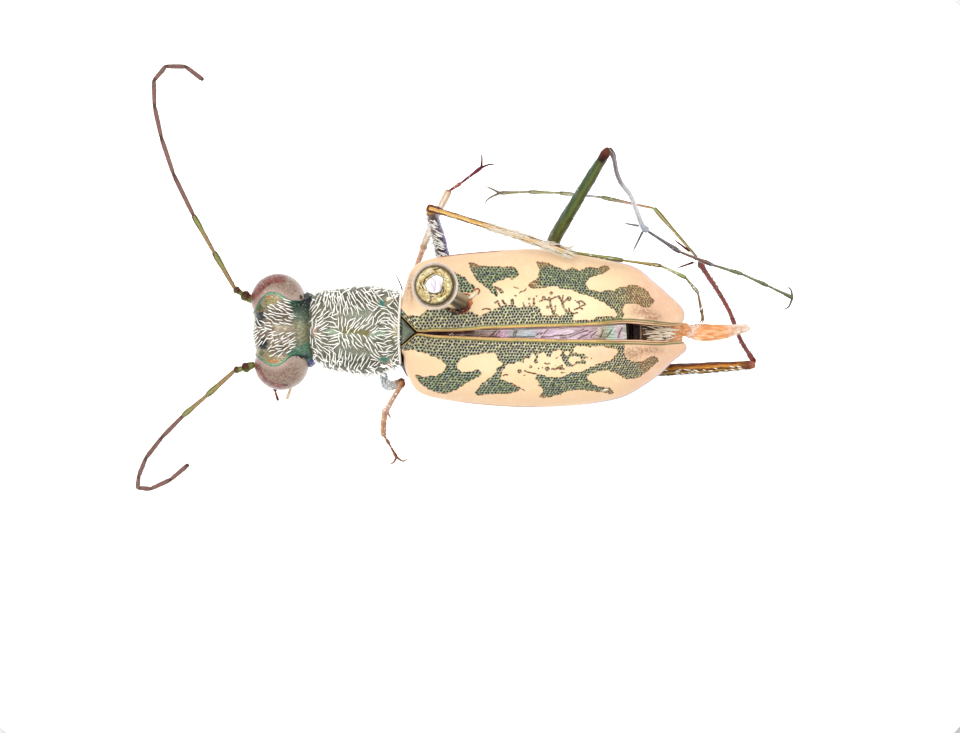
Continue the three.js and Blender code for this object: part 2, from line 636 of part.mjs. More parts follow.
addNode(beetle, 'abdomen', 'cuticle', cutAway(abdomen(), coxaHollows));
addNode(beetle, 'aedeagus', 'genitalia', aedeagus());

export default model;
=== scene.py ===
# Pinned tiger beetle: the finish of every surface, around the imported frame.
# Sizes are in millimetres and places are in the beetle's own frame, unless a line says
# otherwise. Its origin is the tip of the scutellum, at the height of the wing cases' top.
# +X runs to the tail, +Y to the beetle's right and +Z up.
import math

import bpy
import numpy as np
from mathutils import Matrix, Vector
from mathutils.bvhtree import BVHTree


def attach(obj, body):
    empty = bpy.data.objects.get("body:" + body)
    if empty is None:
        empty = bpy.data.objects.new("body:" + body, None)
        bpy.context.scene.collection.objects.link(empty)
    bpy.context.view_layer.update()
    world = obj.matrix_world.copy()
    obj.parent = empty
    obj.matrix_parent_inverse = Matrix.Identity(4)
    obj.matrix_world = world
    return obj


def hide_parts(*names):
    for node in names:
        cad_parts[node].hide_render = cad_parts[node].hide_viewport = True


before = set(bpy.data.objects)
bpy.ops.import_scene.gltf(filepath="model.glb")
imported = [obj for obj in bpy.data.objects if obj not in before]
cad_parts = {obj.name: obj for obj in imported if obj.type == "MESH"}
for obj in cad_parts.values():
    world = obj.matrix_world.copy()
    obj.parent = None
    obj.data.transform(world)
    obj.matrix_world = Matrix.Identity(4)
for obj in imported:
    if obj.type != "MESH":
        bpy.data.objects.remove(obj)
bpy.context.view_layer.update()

MM = 0.001
BEETLE = np.array([-1.8, 0.93, 11.5])
CAMERA_HEIGHT = 300.0
PHOTO_CENTRE = (480.0, 366.5)
PIXELS_PER_MM = 36.0
SENSOR = 36.0
PHOTO_WIDTH = 960

BASE = {"length": 28.0, "width": 21.5, "height": 3.0, "corner": 1.2, "bevel": 0.25}
PIN_PATH = np.array([[0.57, 1.31, 3.9], [2.81, -0.06, BASE["height"] - BEETLE[2]]])
PIN_RADIUS = 0.23
PIN_SUNK = 2.1
# The dimple in the foam round the pin
HOLE_GAP = 0.03
HOLE_DEPTH = 0.8

# Hairs: the share of their girth at the tip, and how those that lie on a skin rise, wave and drop
HAIR_TIP = 0.3
HAIR_LIFT = 0.075
HAIR_WAVE = 0.09
HAIR_DROP = 0.07
HAIR_SUNK = 0.012
HAIR_RINGS = 7
BAKE_PATCH = 0.003
# Tints lie on the upper side only, above this height
TINT_FLOOR = -1.35
# Rays that look for the skin start above everything and go straight down
ABOVE = 5
DOWN = Vector((0, 0, -1))


# Shapes in numbers

def seen(pixels, z=0.0):
    """Places in the beetle's frame, at height z, of points given in photo pixels."""
    pixels = np.asarray(pixels, float)
    scale = (1 - np.asarray(z, float) / CAMERA_HEIGHT) / PIXELS_PER_MM
    x = (pixels[..., 0] - PHOTO_CENTRE[0]) * scale - BEETLE[0]
    y = (PHOTO_CENTRE[1] - pixels[..., 1]) * scale - BEETLE[1]
    return raised(np.stack([x, y], -1), z)


def sighted(points):
    """Joints measured flat in the photograph, moved out along their line of sight."""
    world = np.asarray(points, float) + [BEETLE[0], BEETLE[1], 0]
    world[..., :2] *= 1 - world[..., 2:] / CAMERA_HEIGHT
    return world - [BEETLE[0], BEETLE[1], 0]


def unit(vectors):
    return vectors / np.maximum(np.linalg.norm(vectors, axis=-1, keepdims=True), 1e-12)


def along(pairs, x):
    """Smooth value along x through (x, value) pairs."""
    places, values = np.array(pairs, float).T
    i = np.clip(np.searchsorted(places, x, side="right") - 1, 0, len(places) - 2)
    t = np.clip((x - places[i]) / (places[i + 1] - places[i]), 0, 1)
    t = t * t * (3 - 2 * t)
    return values[i] + (values[i + 1] - values[i]) * t


def step(low, high, x):
    t = np.clip((x - low) / (high - low), 0, 1)
    return t * t * (3 - 2 * t)


def bell(x, width):
    """1 where x is zero, and falling off to both sides."""
    return np.exp(-(x / width) ** 2)


def grid(*axes):
    return np.meshgrid(*axes, indexing="ij")


def turns_round(count):
    return np.linspace(0, 2 * math.pi, count, endpoint=False)


def raised(plan, z):
    """Places in a plan, at one height or at a height each."""
    return np.concatenate([plan, np.broadcast_to(z, plan.shape[:-1])[..., None]], -1)


def smooth_path(points, count):
    """Evenly spaced places along a centripetal Catmull-Rom curve through the points."""
    p = np.asarray(points, float)
    ends = np.vstack([2 * p[0] - p[1], p, 2 * p[-1] - p[-2]])
    rows = []
    for a, b, c, d in zip(ends, ends[1:], ends[2:], ends[3:]):
        t1 = np.linalg.norm(b - a) ** 0.5
        t2 = t1 + np.linalg.norm(c - b) ** 0.5
        t3 = t2 + np.linalg.norm(d - c) ** 0.5
        t = np.linspace(t1, t2, 24, endpoint=False)[:, None]
        ab = a + (b - a) * t / t1
        bc = b + (c - b) * (t - t1) / (t2 - t1)
        cd = c + (d - c) * (t - t2) / (t3 - t2)
        abc = ab + (bc - ab) * t / t2
        bcd = bc + (cd - bc) * (t - t1) / (t3 - t1)
        rows.append(abc + (bcd - abc) * (t - t1) / (t2 - t1))
    dense = np.vstack([*rows, p[-1:]])
    length = np.append(0, np.cumsum(np.linalg.norm(np.diff(dense, axis=0), axis=1)))
    even = np.linspace(0, length[-1], count)
    return np.stack([np.interp(even, length, axis) for axis in dense.T], 1)


def ripple(points, scale, seed, layers=3):
    """Soft unevenness from -1 to 1 or so, as a sum of waves in seeded directions."""
    rng = np.random.default_rng(seed)
    total = np.zeros(points.shape[:-1])
    for layer in range(layers):
        for _ in range(4):
            way = unit(rng.normal(size=points.shape[-1])) * rng.uniform(0.7, 1.4) * 2 * math.pi
            total += np.sin(points @ way * 2 ** layer / scale + rng.uniform(0, 6.3)) / 2 ** layer
    return total / 4


def inside_by(points, outline):
    """How far inside a closed outline each point lies. Outside is negative."""
    start = np.asarray(outline, float)
    best = np.full(len(points), 1e9)
    inside = np.zeros(len(points), bool)
    for p, q in zip(start, np.roll(start, -1, 0)):
        edge = q - p
        best = np.minimum(best, to_edge(points, p, q))
        if edge[1]:
            spans = (p[1] > points[:, 1]) != (q[1] > points[:, 1])
            inside ^= spans & (points[:, 0] < p[0] + (points[:, 1] - p[1]) * edge[0] / edge[1])
    return np.where(inside, best, -best)


def to_edge(points, p, q):
    p = np.asarray(p, float)
    edge = np.asarray(q, float) - p
    offset = points - p
    t = np.clip(offset @ edge / max(edge @ edge, 1e-9), 0, 1)
    return np.linalg.norm(offset - t[:, None] * edge, axis=1)


def to_path(points, path):
    return np.min([to_edge(points, p, q) for p, q in zip(path, path[1:])], axis=0)


# Meshes

class Shape:
    """Points, faces, named values of the points, and where the coat's bake goes."""

    def __init__(self, points, faces, values=None, bake=None):
        self.points = np.asarray(points, float)
        self.faces = [np.asarray(f) for f in faces if len(f)]
        self.values = values or {}
        self.bake = bake


def joined(shapes):
    offsets = np.append(0, np.cumsum([len(s.points) for s in shapes]))
    faces = [f + offset for s, offset in zip(shapes, offsets) for f in s.faces]
    names = shapes[0].values
    values = {n: np.concatenate([s.values[n] for s in shapes]) for n in names}
    bake = None if shapes[0].bake is None else np.vstack([s.bake for s in shapes])
    return Shape(np.vstack([s.points for s in shapes]), faces, values, bake)


def grid_faces(rows, cols):
    """Quads of a tube's rows, each row a closed loop."""
    i = np.arange(rows - 1)[:, None] * cols
    j = np.arange(cols)[None]
    k = (j + 1) % cols
    return np.stack([i + j, i + k, i + cols + k, i + cols + j], -1).reshape(-1, 4)


def closed(rings, **values):
    """A closed mesh from rings of points, with each end closed by a fan to its middle."""
    rows, cols, _ = rings.shape
    points = np.vstack([rings.reshape(-1, 3), rings[0].mean(0), rings[-1].mean(0)])
    here = np.arange(cols)
    after = (here + 1) % cols
    last = (rows - 1) * cols
    fan = np.stack([np.full(cols, rows * cols), after, here], 1)
    far_fan = np.stack([np.full(cols, rows * cols + 1), last + here, last + after], 1)
    faces = [grid_faces(rows, cols), fan, far_fan]
    full = {n: np.append(v.reshape(-1), [v[0].mean(), v[-1].mean()]) for n, v in values.items()}
    return outward(Shape(points, faces, full))


def outward(shape):
    """Turns the faces of a closed shape to the outside."""
    middle = shape.points.mean(0)
    volume = 0.0
    for f in shape.faces:
        a, b, c = (shape.points[f[:, k]] - middle for k in (0, 1, 2))
        volume += np.einsum("ij,ij->", a, np.cross(b, c))
        if f.shape[1] == 4:
            d = shape.points[f[:, 3]] - middle
            volume += np.einsum("ij,ij->", a, np.cross(c, d))
    if volume < 0:
        shape.faces = [f[:, ::-1] for f in shape.faces]
    return shape


def placed(name, data):
    piece = bpy.data.objects.new(name, data)
    bpy.context.scene.collection.objects.link(piece)
    return piece


def add(name, shape, paint, nodes=()):
    """A mesh object that rides on the frame and takes the place of the named nodes."""
    mesh = bpy.data.meshes.new(name)
    faces = [row for f in shape.faces for row in f.tolist()]
    mesh.from_pydata(((shape.points + BEETLE) * MM).tolist(), [], faces)
    for value, numbers in shape.values.items():
        layer = mesh.attributes.new(value, "FLOAT", "POINT")
        layer.data.foreach_set("value", np.asarray(numbers, np.float32))
    if shape.bake is not None:
        layer = mesh.uv_layers.new(name="OFBake")
        corners = np.zeros(len(mesh.loops), np.int32)
        mesh.loops.foreach_get("vertex_index", corners)
        layer.data.foreach_set("uv", shape.bake[corners].astype(np.float32).ravel())
    mesh.polygons.foreach_set("use_smooth", np.full(len(mesh.polygons), True))
    mesh.materials.append(paint)
    mesh.update()
    piece = placed(name, mesh)
    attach(piece, "root")
    if nodes:
        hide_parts(*nodes)
    return piece


class Limb:
    """A tube along a smooth path. Its girth is a list of (share of the length, radius)."""

    def __init__(self, path, girth, rows, sides, wide=1.0, deep=1.0, cap=0.7, relief=None):
        self.girth, self.wide, self.deep, self.cap, self.relief = girth, wide, deep, cap, relief
        self.rows, self.sides = rows, sides
        self.centres = smooth_path(path, rows)
        self.tangents = unit(np.gradient(self.centres, axis=0))
        self.length = np.linalg.norm(np.diff(self.centres, axis=0), axis=1).sum()
        side = np.array([-self.tangents[0][1], self.tangents[0][0], 0.0])
        if np.linalg.norm(side) < 1e-3:
            side = np.array([1.0, 0.0, 0.0])
        across = []
        for tangent in self.tangents:
            side = unit(side - tangent * side.dot(tangent))
            across.append(side)
        self.across = np.array(across)
        self.up = np.cross(self.tangents, self.across)

    def frame(self, share):
        place = np.asarray(share) * (self.rows - 1)
        i = np.clip(place.astype(int), 0, self.rows - 2)
        t = (place - i)[..., None]
        return [a[i] * (1 - t) + a[i + 1] * t for a in (self.centres, self.tangents, self.across, self.up)]

    def skin(self, share, turn):
        """Places on the skin, the ways out of it and the limb's direction there."""
        centre, tangent, across, up = self.frame(share)
        out = across * np.cos(turn)[..., None] * self.wide + up * np.sin(turn)[..., None] * self.deep
        return centre + out * along(self.girth, share)[..., None], unit(out), unit(tangent)

    def shape(self, first=0.0, last=1.0):
        shares = np.linspace(0, 1, self.rows)
        share, turn = grid(shares, turns_round(self.sides))
        places, out, _ = self.skin(share, turn)
        if self.relief:
            places = places + out * self.relief(share, turn)[..., None]
        caps = []
        for end, way in ((0, -1), (-1, 1)):
            ring, centre = places[end], self.centres[end]
            radius = along(self.girth, shares[end])
            rings = [
                centre + (ring - centre) * math.cos(a)
                + way * self.tangents[end] * radius * self.cap * math.sin(a)
                for a in (0.5, 0.95, 1.35)
            ]
            caps.append(rings)
        rings = np.array([*caps[0][::-1], *places, *caps[1]])
        t = np.concatenate([[0] * 3, shares, [1] * 3])[:, None] + np.zeros(self.sides)
        spine = np.array([self.centres[0]] * 3 + [*self.centres] + [self.centres[-1]] * 3)
        ways = np.array([self.tangents[0]] * 3 + [*self.tangents] + [self.tangents[-1]] * 3)
        level = unit(np.stack([-ways[:, 1], ways[:, 0], 0 * ways[:, 0]], 1))
        offset = ((rings - spine[:, None]) * level[:, None]).sum(-1)
        across = 0.5 + 0.5 * offset / max(np.abs(offset).max(1).mean(), 1e-6)
        return closed(rings, along=first + (last - first) * t, across=np.clip(across, 0, 1))


def scaled(girth, radius):
    return [(share, r * radius) for share, r in girth]


def strands(centres, outs, radius, spots):
    """Thin three-sided hairs along rows of centres, tapered to their tips."""
    count, rings = centres.shape[:2]
    s = np.linspace(0, 1, rings)
    tangents = unit(np.gradient(centres, axis=1))
    across = unit(np.cross(tangents, outs[:, None]))
    ups = np.cross(across, tangents)
    radius = np.broadcast_to(radius, count)[:, None, None, None]
    taper = (1 - (1 - HAIR_TIP) * s ** 3)[None, :, None, None]
    turns = np.arange(3) * 2 * math.pi / 3 + math.pi / 6
    ring = across[:, :, None] * np.cos(turns)[:, None] + ups[:, :, None] * np.sin(turns)[:, None]
    points = (centres[:, :, None] + radius * taper * ring).reshape(-1, 3)
    first = (np.arange(count) * rings * 3)[:, None]
    sides = (first[..., None] + grid_faces(rings, 3)).reshape(-1, 4)
    ends = np.array([[2, 1, 0], [rings * 3 - 3, rings * 3 - 2, rings * 3 - 1]])
    caps = (first[..., None] + ends).reshape(-1, 3)
    patch = BAKE_PATCH * np.stack(grid(s - 0.5, np.arange(3) / 3 - 0.33), -1)
    bake = (np.asarray(spots)[:, None, None] + patch).reshape(-1, 2)
    return Shape(points, [sides, caps], {"tipward": np.tile(np.repeat(s, 3), count)}, bake)


def hairs(roots, ways, outs, lengths, radius, spots, curl, rings=4):
    """Hairs that leave their roots along their ways and curl back to the skin."""
    ways, outs = unit(ways), unit(outs)
    s = np.linspace(0, 1, rings)[None, :, None]
    reach = np.broadcast_to(lengths, len(roots))[:, None, None]
    centres = roots[:, None] + reach * (s * ways[:, None] - curl * s ** 2 * outs[:, None])
    return strands(centres, outs, radius, spots)


def lying(tree, starts, ways, lengths, radius, extent, rng):
    """Wavy hairs that follow the skin under them. They are laid out as seen from above."""
    s = np.linspace(0, 1, HAIR_RINGS)
    count = len(starts)
    swing = rng.uniform(-HAIR_WAVE, HAIR_WAVE, (count, 1)) * np.sin(s * rng.uniform(3, 6, (count, 1)))
    side = np.stack([-ways[:, 1], ways[:, 0]], 1)
    plan = starts[:, None] + lengths[:, None, None] * (
        s[:, None] * ways[:, None] + swing[..., None] * side[:, None])
    centres, outs = [], []
    for row in plan:
        spine = []
        for x, y in row:
            hit, normal, _, _ = tree.ray_cast(Vector((x, y, ABOVE)), DOWN)
            if not spine:
                if hit is None:
                    break
                outs.append(normal * (1 if normal.z > 0 else -1))
                spine.append(hit.z)
            else:
                spine.append(max(hit.z if hit else -9.0, spine[-1] - HAIR_DROP))
        if spine:
            centres.append(np.column_stack([row, np.array(spine) + HAIR_LIFT * s ** 0.7
                                            - HAIR_SUNK * (s == 0)]))
    centres, outs = np.array(centres), np.array(outs, float)
    return strands(centres, outs, radius, unwrap(centres[:, 0], *extent))


def hair_places(limb, rng, count, shares=(0.05, 0.95)):
    """Roots spread on a limb, with the limb's own unwrap as their place in the bake."""
    share = rng.uniform(*shares, count)
    turn = rng.uniform(0, 2 * math.pi, count)
    roots, outs, tangents = limb.skin(share, turn)
    spots = np.stack([share * 0.98 + 0.01, turn / (2 * math.pi) * 0.98 + 0.01], 1)
    return roots, outs, tangents, spots


# Skins from fields: a closed mesh where a field of distances crosses zero

def ball(p, centre, radii):
    q = (p - np.array(centre)) / np.array(radii)
    near = np.linalg.norm(q, axis=-1)
    steep = np.linalg.norm(q / np.array(radii), axis=-1)
    return near * (near - 1) / np.maximum(steep, 1e-6)


def melt(a, b, soft):
    """The union of two fields with a soft seam."""
    h = np.clip(0.5 + 0.5 * (b - a) / soft, 0, 1)
    return b + (a - b) * h - soft * h * (1 - h)


def skin_of(field, low, high, cell):
    """Closed skin of a field: one point in each cell that the surface crosses."""
    axes = [np.arange(a, b + cell, cell) for a, b in zip(low, high)]
    lattice = np.stack(grid(*axes), -1)
    values = field(lattice)
    inside = values < 0
    shape = np.array(values.shape)
    total = np.zeros((*(shape - 1), 3))
    count = np.zeros(shape - 1)
    crossings = []
    for axis in range(3):
        near = [slice(None)] * 3
        far = [slice(None)] * 3
        near[axis], far[axis] = slice(0, -1), slice(1, None)
        near, far = tuple(near), tuple(far)
        crosses = inside[near] != inside[far]
        gap = values[near] - values[far]
        t = np.where(crosses, values[near] / np.where(gap == 0, 1, gap), 0)
        place = lattice[near] + t[..., None] * (lattice[far] - lattice[near])
        crossings.append((crosses, inside[near]))
        others = [k for k in range(3) if k != axis]
        for du in (0, 1):
            for dv in (0, 1):
                part = [slice(None)] * 3
                for k, d in zip(others, (du, dv)):
                    part[k] = slice(d, shape[k] - 1 + d)
                part = tuple(part)
                count += crosses[part]
                total += np.where(crosses[part][..., None], place[part], 0)
    used = count > 0
    number = np.full(count.shape, -1)
    number[used] = np.arange(used.sum())
    points = total[used] / count[used][:, None]
    quads = []
    for axis, (crosses, starts_inside) in enumerate(crossings):
        u, v = (k for k in range(3) if k != axis)
        found = np.argwhere(crosses)
        back_u, back_v = np.zeros(3, int), np.zeros(3, int)
        back_u[u], back_v[v] = 1, 1
        corners = [found - back_u - back_v, found - back_v, found, found - back_u]
        quad = np.stack([number[tuple(c.T)] for c in corners], 1)
        flip = starts_inside[tuple(found.T)] ^ (axis == 1)
        quads.append(np.where(flip[:, None], quad, quad[:, ::-1]))
    return Shape(points, [np.vstack(quads)])


def tree_of(shape):
    faces = [row for f in shape.faces for row in f.tolist()]
    return BVHTree.FromPolygons(shape.points.tolist(), faces)


def roots_on(shape, rng, count, keep):
    """Roots spread evenly over a skin where keep(places) is true."""
    faces = np.vstack([f[:, :3] for f in shape.faces])
    a, b, c = (shape.points[faces[:, k]] for k in (0, 1, 2))
    normal = np.cross(b - a, c - a)
    area = np.linalg.norm(normal, axis=1)
    pick = rng.choice(len(faces), count * 3, p=area / area.sum())
    u, v = rng.uniform(0, 1, (2, count * 3, 1))
    places = a[pick] + (b[pick] - a[pick]) * u + (c[pick] - a[pick]) * v * (1 - u)
    outs = unit(normal[pick])
    chosen = keep(places)
    return places[chosen][:count], outs[chosen][:count]


def unwrap(places, low, high, middle):
    """Places on a body part's own unwrap: along its length and round its axis."""
    turn = np.arctan2(places[:, 2] - middle[1], places[:, 1] - middle[0]) / (2 * math.pi) + 0.5
    share = (places[:, 0] - low) / (high - low)
    return np.clip(np.stack([share, turn], 1), 0.01, 0.99)


def pixels_of(points):
    return (points[..., :2] + BEETLE[:2]) * [PIXELS_PER_MM, -PIXELS_PER_MM] + PHOTO_CENTRE


def blots(pixels, ellipses):
    """Soft patches from 0 to 1. Each ellipse has its middle and its radii in photo pixels."""
    total = sum((np.exp(-((pixels[..., 0] - x) / rx) ** 2 - ((pixels[..., 1] - y) / ry) ** 2)
                 for x, y, rx, ry in ellipses), np.zeros(pixels.shape[:-1]))
    return np.clip(total, 0, 1)


def patches(shape, tints):
    """Marks the patches of each tint on the upper side of a shape."""
    for name, (_, ellipses) in tints.items():
        shape.values[name] = blots(pixels_of(shape.points), ellipses) * (shape.points[:, 2] > TINT_FLOOR)


# Paints

# Leaves the colour under it as it is in an overlay
MIDDLE_GREY = (128, 128, 128)


def rgb(red, green, blue):
    """Linear colour of an 8-bit colour."""
    c = np.array([red, green, blue]) / 255
    return (*np.where(c <= 0.04045, c / 12.92, ((c + 0.055) / 1.055) ** 2.4).tolist(), 1.0)


class Paint:
    """One material's nodes. Scales are per millimetre, depths in millimetres and colours 8-bit."""

    def __init__(self, name, roughness=0.5, metallic=0.0, **sockets):
        self.material = bpy.data.materials.new(name)
        self.material.use_nodes = True
        self.tree = self.material.node_tree
        self.shader = self.tree.nodes["Principled BSDF"]
        self.set(Roughness=roughness, Metallic=metallic)
        for socket, value in sockets.items():
            self.shader.inputs[socket.replace("_", " ")].default_value = value
        self.places = None

    def set(self, **sockets):
        for socket, value in sockets.items():
            self.wire(self.shader.inputs[socket.replace("_", " ")], value)

    def wire(self, socket, value):
        if isinstance(value, bpy.types.NodeSocket):
            self.tree.links.new(value, socket)
        elif socket.type == "RGBA":
            socket.default_value = rgb(*value)
        else:
            socket.default_value = value

    def node(self, kind, settings=None, **inputs):
        node = self.tree.nodes.new(kind)
        for name, value in (settings or {}).items():
            setattr(node, name, value)
        for name, value in inputs.items():
            self.wire(node.inputs[name.replace("_", " ")], value)
        return node

    def where(self, stretch=(1, 1, 1)):
        """Places on the surface in millimetres, stretched along the axes."""
        if self.places is None:
            self.places = self.node("ShaderNodeTexCoord").outputs["Object"]
        scaled = [k * 1000 for k in stretch]
        node = self.node("ShaderNodeVectorMath", {"operation": "MULTIPLY"})
        self.wire(node.inputs[0], self.places)
        node.inputs[1].default_value = scaled
        return node.outputs[0]

    def value(self, name):
        return self.node("ShaderNodeAttribute", {"attribute_name": name}).outputs["Fac"]

    def noise(self, scale, detail=3.0, stretch=(1, 1, 1), distortion=0.0):
        node = self.node("ShaderNodeTexNoise", Vector=self.where(stretch), Scale=scale,
                         Detail=detail, Roughness=0.55, Distortion=distortion)
        return node.outputs["Fac"]

    def cells(self, scale, randomness=1.0):
        node = self.node("ShaderNodeTexVoronoi", Vector=self.where(), Scale=scale, Randomness=randomness)
        return node.outputs["Distance"]

    def ramp(self, factor, stops):
        node = self.node("ShaderNodeValToRGB", Fac=factor)
        elements = node.color_ramp.elements
        while len(elements) < len(stops):
            elements.new(0.5)
        for element, (place, color) in zip(elements, stops):
            element.position = place
            element.color = rgb(*color)
        return node.outputs["Color"]

    def mix(self, factor, a, b, blend="MIX"):
        node = self.node("ShaderNodeMix", {"data_type": "RGBA", "blend_type": blend})
        for socket, value in zip((node.inputs[0], node.inputs[6], node.inputs[7]), (factor, a, b)):
            self.wire(socket, value)
        return node.outputs[2]

    def math(self, operation, a, b):
        node = self.node("ShaderNodeMath", {"operation": operation})
        self.wire(node.inputs[0], a)
        self.wire(node.inputs[1], b)
        return node.outputs[0]

    def times(self, a, b):
        return self.math("MULTIPLY", a, b)

    def between(self, factor, low, high, to_low=0.0, to_high=1.0):
        """A value brought from the range low..high to to_low..to_high, smoothly."""
        node = self.node("ShaderNodeMapRange", {"interpolation_type": "SMOOTHSTEP"}, Value=factor)
        for name, number in (("From Min", low), ("From Max", high), ("To Min", to_low),
                             ("To Max", to_high)):
            node.inputs[name].default_value = number
        return node.outputs["Result"]

    def wander(self, scale, low, high):
        """A value that wanders over the surface, mostly between low and high."""
        return self.between(self.noise(scale), 0.3, 0.7, low, high)

    def patched(self, base, tints):
        """Lays each of the marked patches on the base colour, with a speckled edge."""
        for name, (color, _) in tints.items():
            edge = self.math("ADD", self.value(name), self.noise(13.0, detail=2))
            base = self.mix(self.between(edge, 0.72, 1.15), base, color)
        return base

    def bump(self, height, depth):
        node = self.node("ShaderNodeBump", Height=height, Strength=1.0, Distance=depth * MM)
        if self.shader.inputs["Normal"].is_linked:
            self.wire(node.inputs["Normal"], self.shader.inputs["Normal"].links[0].from_socket)
        self.tree.links.new(node.outputs["Normal"], self.shader.inputs["Normal"])


def foam_paint():
    p = Paint("foam", roughness=0.9)
    p.set(Base_Color=p.mix(p.noise(1.2), (246, 246, 244), (236, 237, 236)))
    p.bump(p.cells(9.0), 0.03)
    p.bump(p.noise(30.0), 0.01)
    return p.material


def steel_paint():
    p = Paint("pin_shaft", roughness=0.4, metallic=0.2)
    p.set(Base_Color=p.ramp(p.value("streak"), [
        (0.1, (54, 42, 30)), (0.35, (118, 98, 76)), (0.55, (160, 140, 112)), (0.85, (204, 188, 160))]))
    p.bump(p.value("streak"), 0.01)
    return p.material


def brass_paint():
    p = Paint("pin_brass", roughness=0.34, metallic=0.55)
    mottle = p.noise(7.5, detail=5, distortion=0.8)
    warm = p.ramp(mottle, [
        (0.3, (140, 108, 56)), (0.42, (212, 184, 124)), (0.54, (244, 226, 172)), (0.7, (255, 246, 214))])
    warm = p.mix(p.between(p.noise(2.2), 0.5, 0.7, 0.0, 0.45), warm, (166, 164, 96))
    speck = p.between(p.noise(15.0, detail=3), 0.58, 0.68)
    warm = p.mix(speck, warm, (120, 88, 50))
    warm = p.mix(p.value("crack"), warm, (62, 38, 20))
    edge = p.between(p.value("reach"), 0.45, 0.53)
    p.set(Base_Color=p.mix(edge, warm, (84, 72, 40)))
    p.set(Roughness=p.wander(14.0, 0.28, 0.5))
    p.bump(mottle, 0.03)
    return p.material


def flange_paint():
    """Clear rim: pale lines of painted highlight on its ridges, and brown next to the brass, where the brass
    shows through and painted shade darkens it.
    """
    p = Paint("pin_flange", roughness=0.28)
    # Painted shade in brown next to the brass, and painted highlights as pale lines on the ridges
    tone = p.ramp(p.value("reach"), [
        (0.53, (104, 82, 58)), (0.565, (148, 126, 102)), (0.59, (176, 154, 132)), (0.598, (236, 226, 216)),
        (0.61, (180, 158, 136)), (0.625, (186, 164, 142)), (0.636, (246, 240, 234)),
        (0.65, (164, 140, 118))])
    p.set(Base_Color=p.mix(p.between(p.noise(5.0), 0.4, 0.7, 0.0, 0.4), tone, (232, 212, 192)))
    p.bump(p.noise(14.0), 0.008)
    return p.material


def crown_paint():
    p = Paint("pin_crown", roughness=0.4)
    facets = p.noise(5.0, detail=3, stretch=(1.6, 0.6, 1), distortion=0.6)
    tone = p.ramp(facets, [(0.36, (186, 176, 190)), (0.46, (236, 230, 240)), (0.56, (252, 250, 254)),
                           (0.68, (214, 208, 222))])
    p.set(Base_Color=p.mix(p.between(p.value("reach"), 0.93, 1.0), tone, (56, 40, 22)))
    p.bump(facets, 0.02)
    return p.material


def wound_paint():
    p = Paint("pin_wound", roughness=0.35)
    # Rust and dark red of the torn edge; its near-black stretch over the hole is painted shade
    tone = p.ramp(p.value("along"), [
        (0.0, (206, 150, 100)), (0.2, (220, 116, 60)), (0.38, (120, 26, 12)), (0.55, (60, 10, 8)),
        (0.75, (14, 12, 8)), (1.0, (52, 56, 34))])
    p.set(Base_Color=p.mix(p.between(p.noise(12.0), 0.5, 0.7), tone, (232, 140, 84)))
    p.bump(p.noise(12.0, detail=3), 0.03)
    return p.material


def hair_paint(name, root, tip, glow=0.0):
    # Glow is emission that keeps the hairs bright even in shade: painted light
    p = Paint(name, roughness=0.4, Sheen_Weight=0.3, Emission_Strength=glow)
    p.set(Emission_Color=tip, Base_Color=p.mix(p.value("tipward"), root, tip))
    p.bump(p.noise(60.0), 0.001)
    return p.material


def cuticle_paint(name, dark, light, copper, blue, back=None):
    """Metallic, finely wrinkled cuticle that wanders between copper, green and blue."""
    p = Paint(name, roughness=0.42, metallic=0.35)
    p.set(Roughness=p.wander(10.0, 0.34, 0.55))
    broad = p.ramp(p.noise(2.2, detail=4), [(0.35, dark), (0.62, light)])
    hue = p.ramp(p.noise(1.3, detail=2), [(0.34, copper), (0.5, MIDDLE_GREY), (0.66, blue)])
    tinted = p.mix(0.55, broad, hue, "OVERLAY")
    fine = p.noise(24.0, detail=2)
    tinted = p.mix(p.between(fine, 0.35, 0.7, 0.0, 0.75), tinted, dark)
    if back:
        tinted = p.mix(p.value("back"), tinted, back)
    p.set(Base_Color=tinted)
    p.bump(fine, 0.012)
    p.bump(p.cells(34.0), 0.004)
    return p.material


def eye_paint():
    """Mauve-brown dome with a dark red crescent and paler zones."""
    p = Paint("eye", roughness=0.34, Coat_Weight=0.2, Coat_Roughness=0.2)
    grain = p.noise(22.0, detail=4)
    base = p.ramp(grain, [(0.34, (116, 88, 72)), (0.5, (144, 118, 102)), (0.66, (168, 146, 130))])
    base = p.mix(p.times(p.value("skirt"), 0.5), base, (150, 104, 88))
    red = p.ramp(p.noise(9.0, detail=3), [(0.38, (88, 30, 22)), (0.6, (138, 68, 52))])
    base = p.mix(p.between(p.math("ADD", p.value("dark"), p.times(grain, 0.6)), 0.45, 1.05), base, red)
    base = p.mix(p.times(p.value("pale"), 0.6), base, (186, 162, 148))
    base = p.mix(p.times(p.value("rear"), 0.6), base, (188, 166, 152))
    dots = p.times(p.between(p.noise(6.0, detail=1), 0.6, 0.66), p.value("rear"))
    base = p.mix(dots, base, (60, 32, 32))
    speck = p.between(p.noise(17.0, detail=2), 0.62, 0.7)
    p.set(Base_Color=p.mix(p.times(speck, 0.55), base, (214, 196, 184)))
    p.bump(p.cells(42.0, randomness=0.15), 0.006)
    return p.material


def ivory_paint():
    p = Paint("ivory", roughness=0.32, Subsurface_Weight=0.0)
    tone = p.ramp(p.value("along"), [(0.0, (222, 186, 138)), (0.55, (206, 156, 104)), (0.9, (84, 48, 30))])
    p.set(Base_Color=p.mix(p.wander(8.0, 0.0, 0.3), tone, (240, 220, 180)))
    p.bump(p.noise(16.0), 0.008)
    return p.material


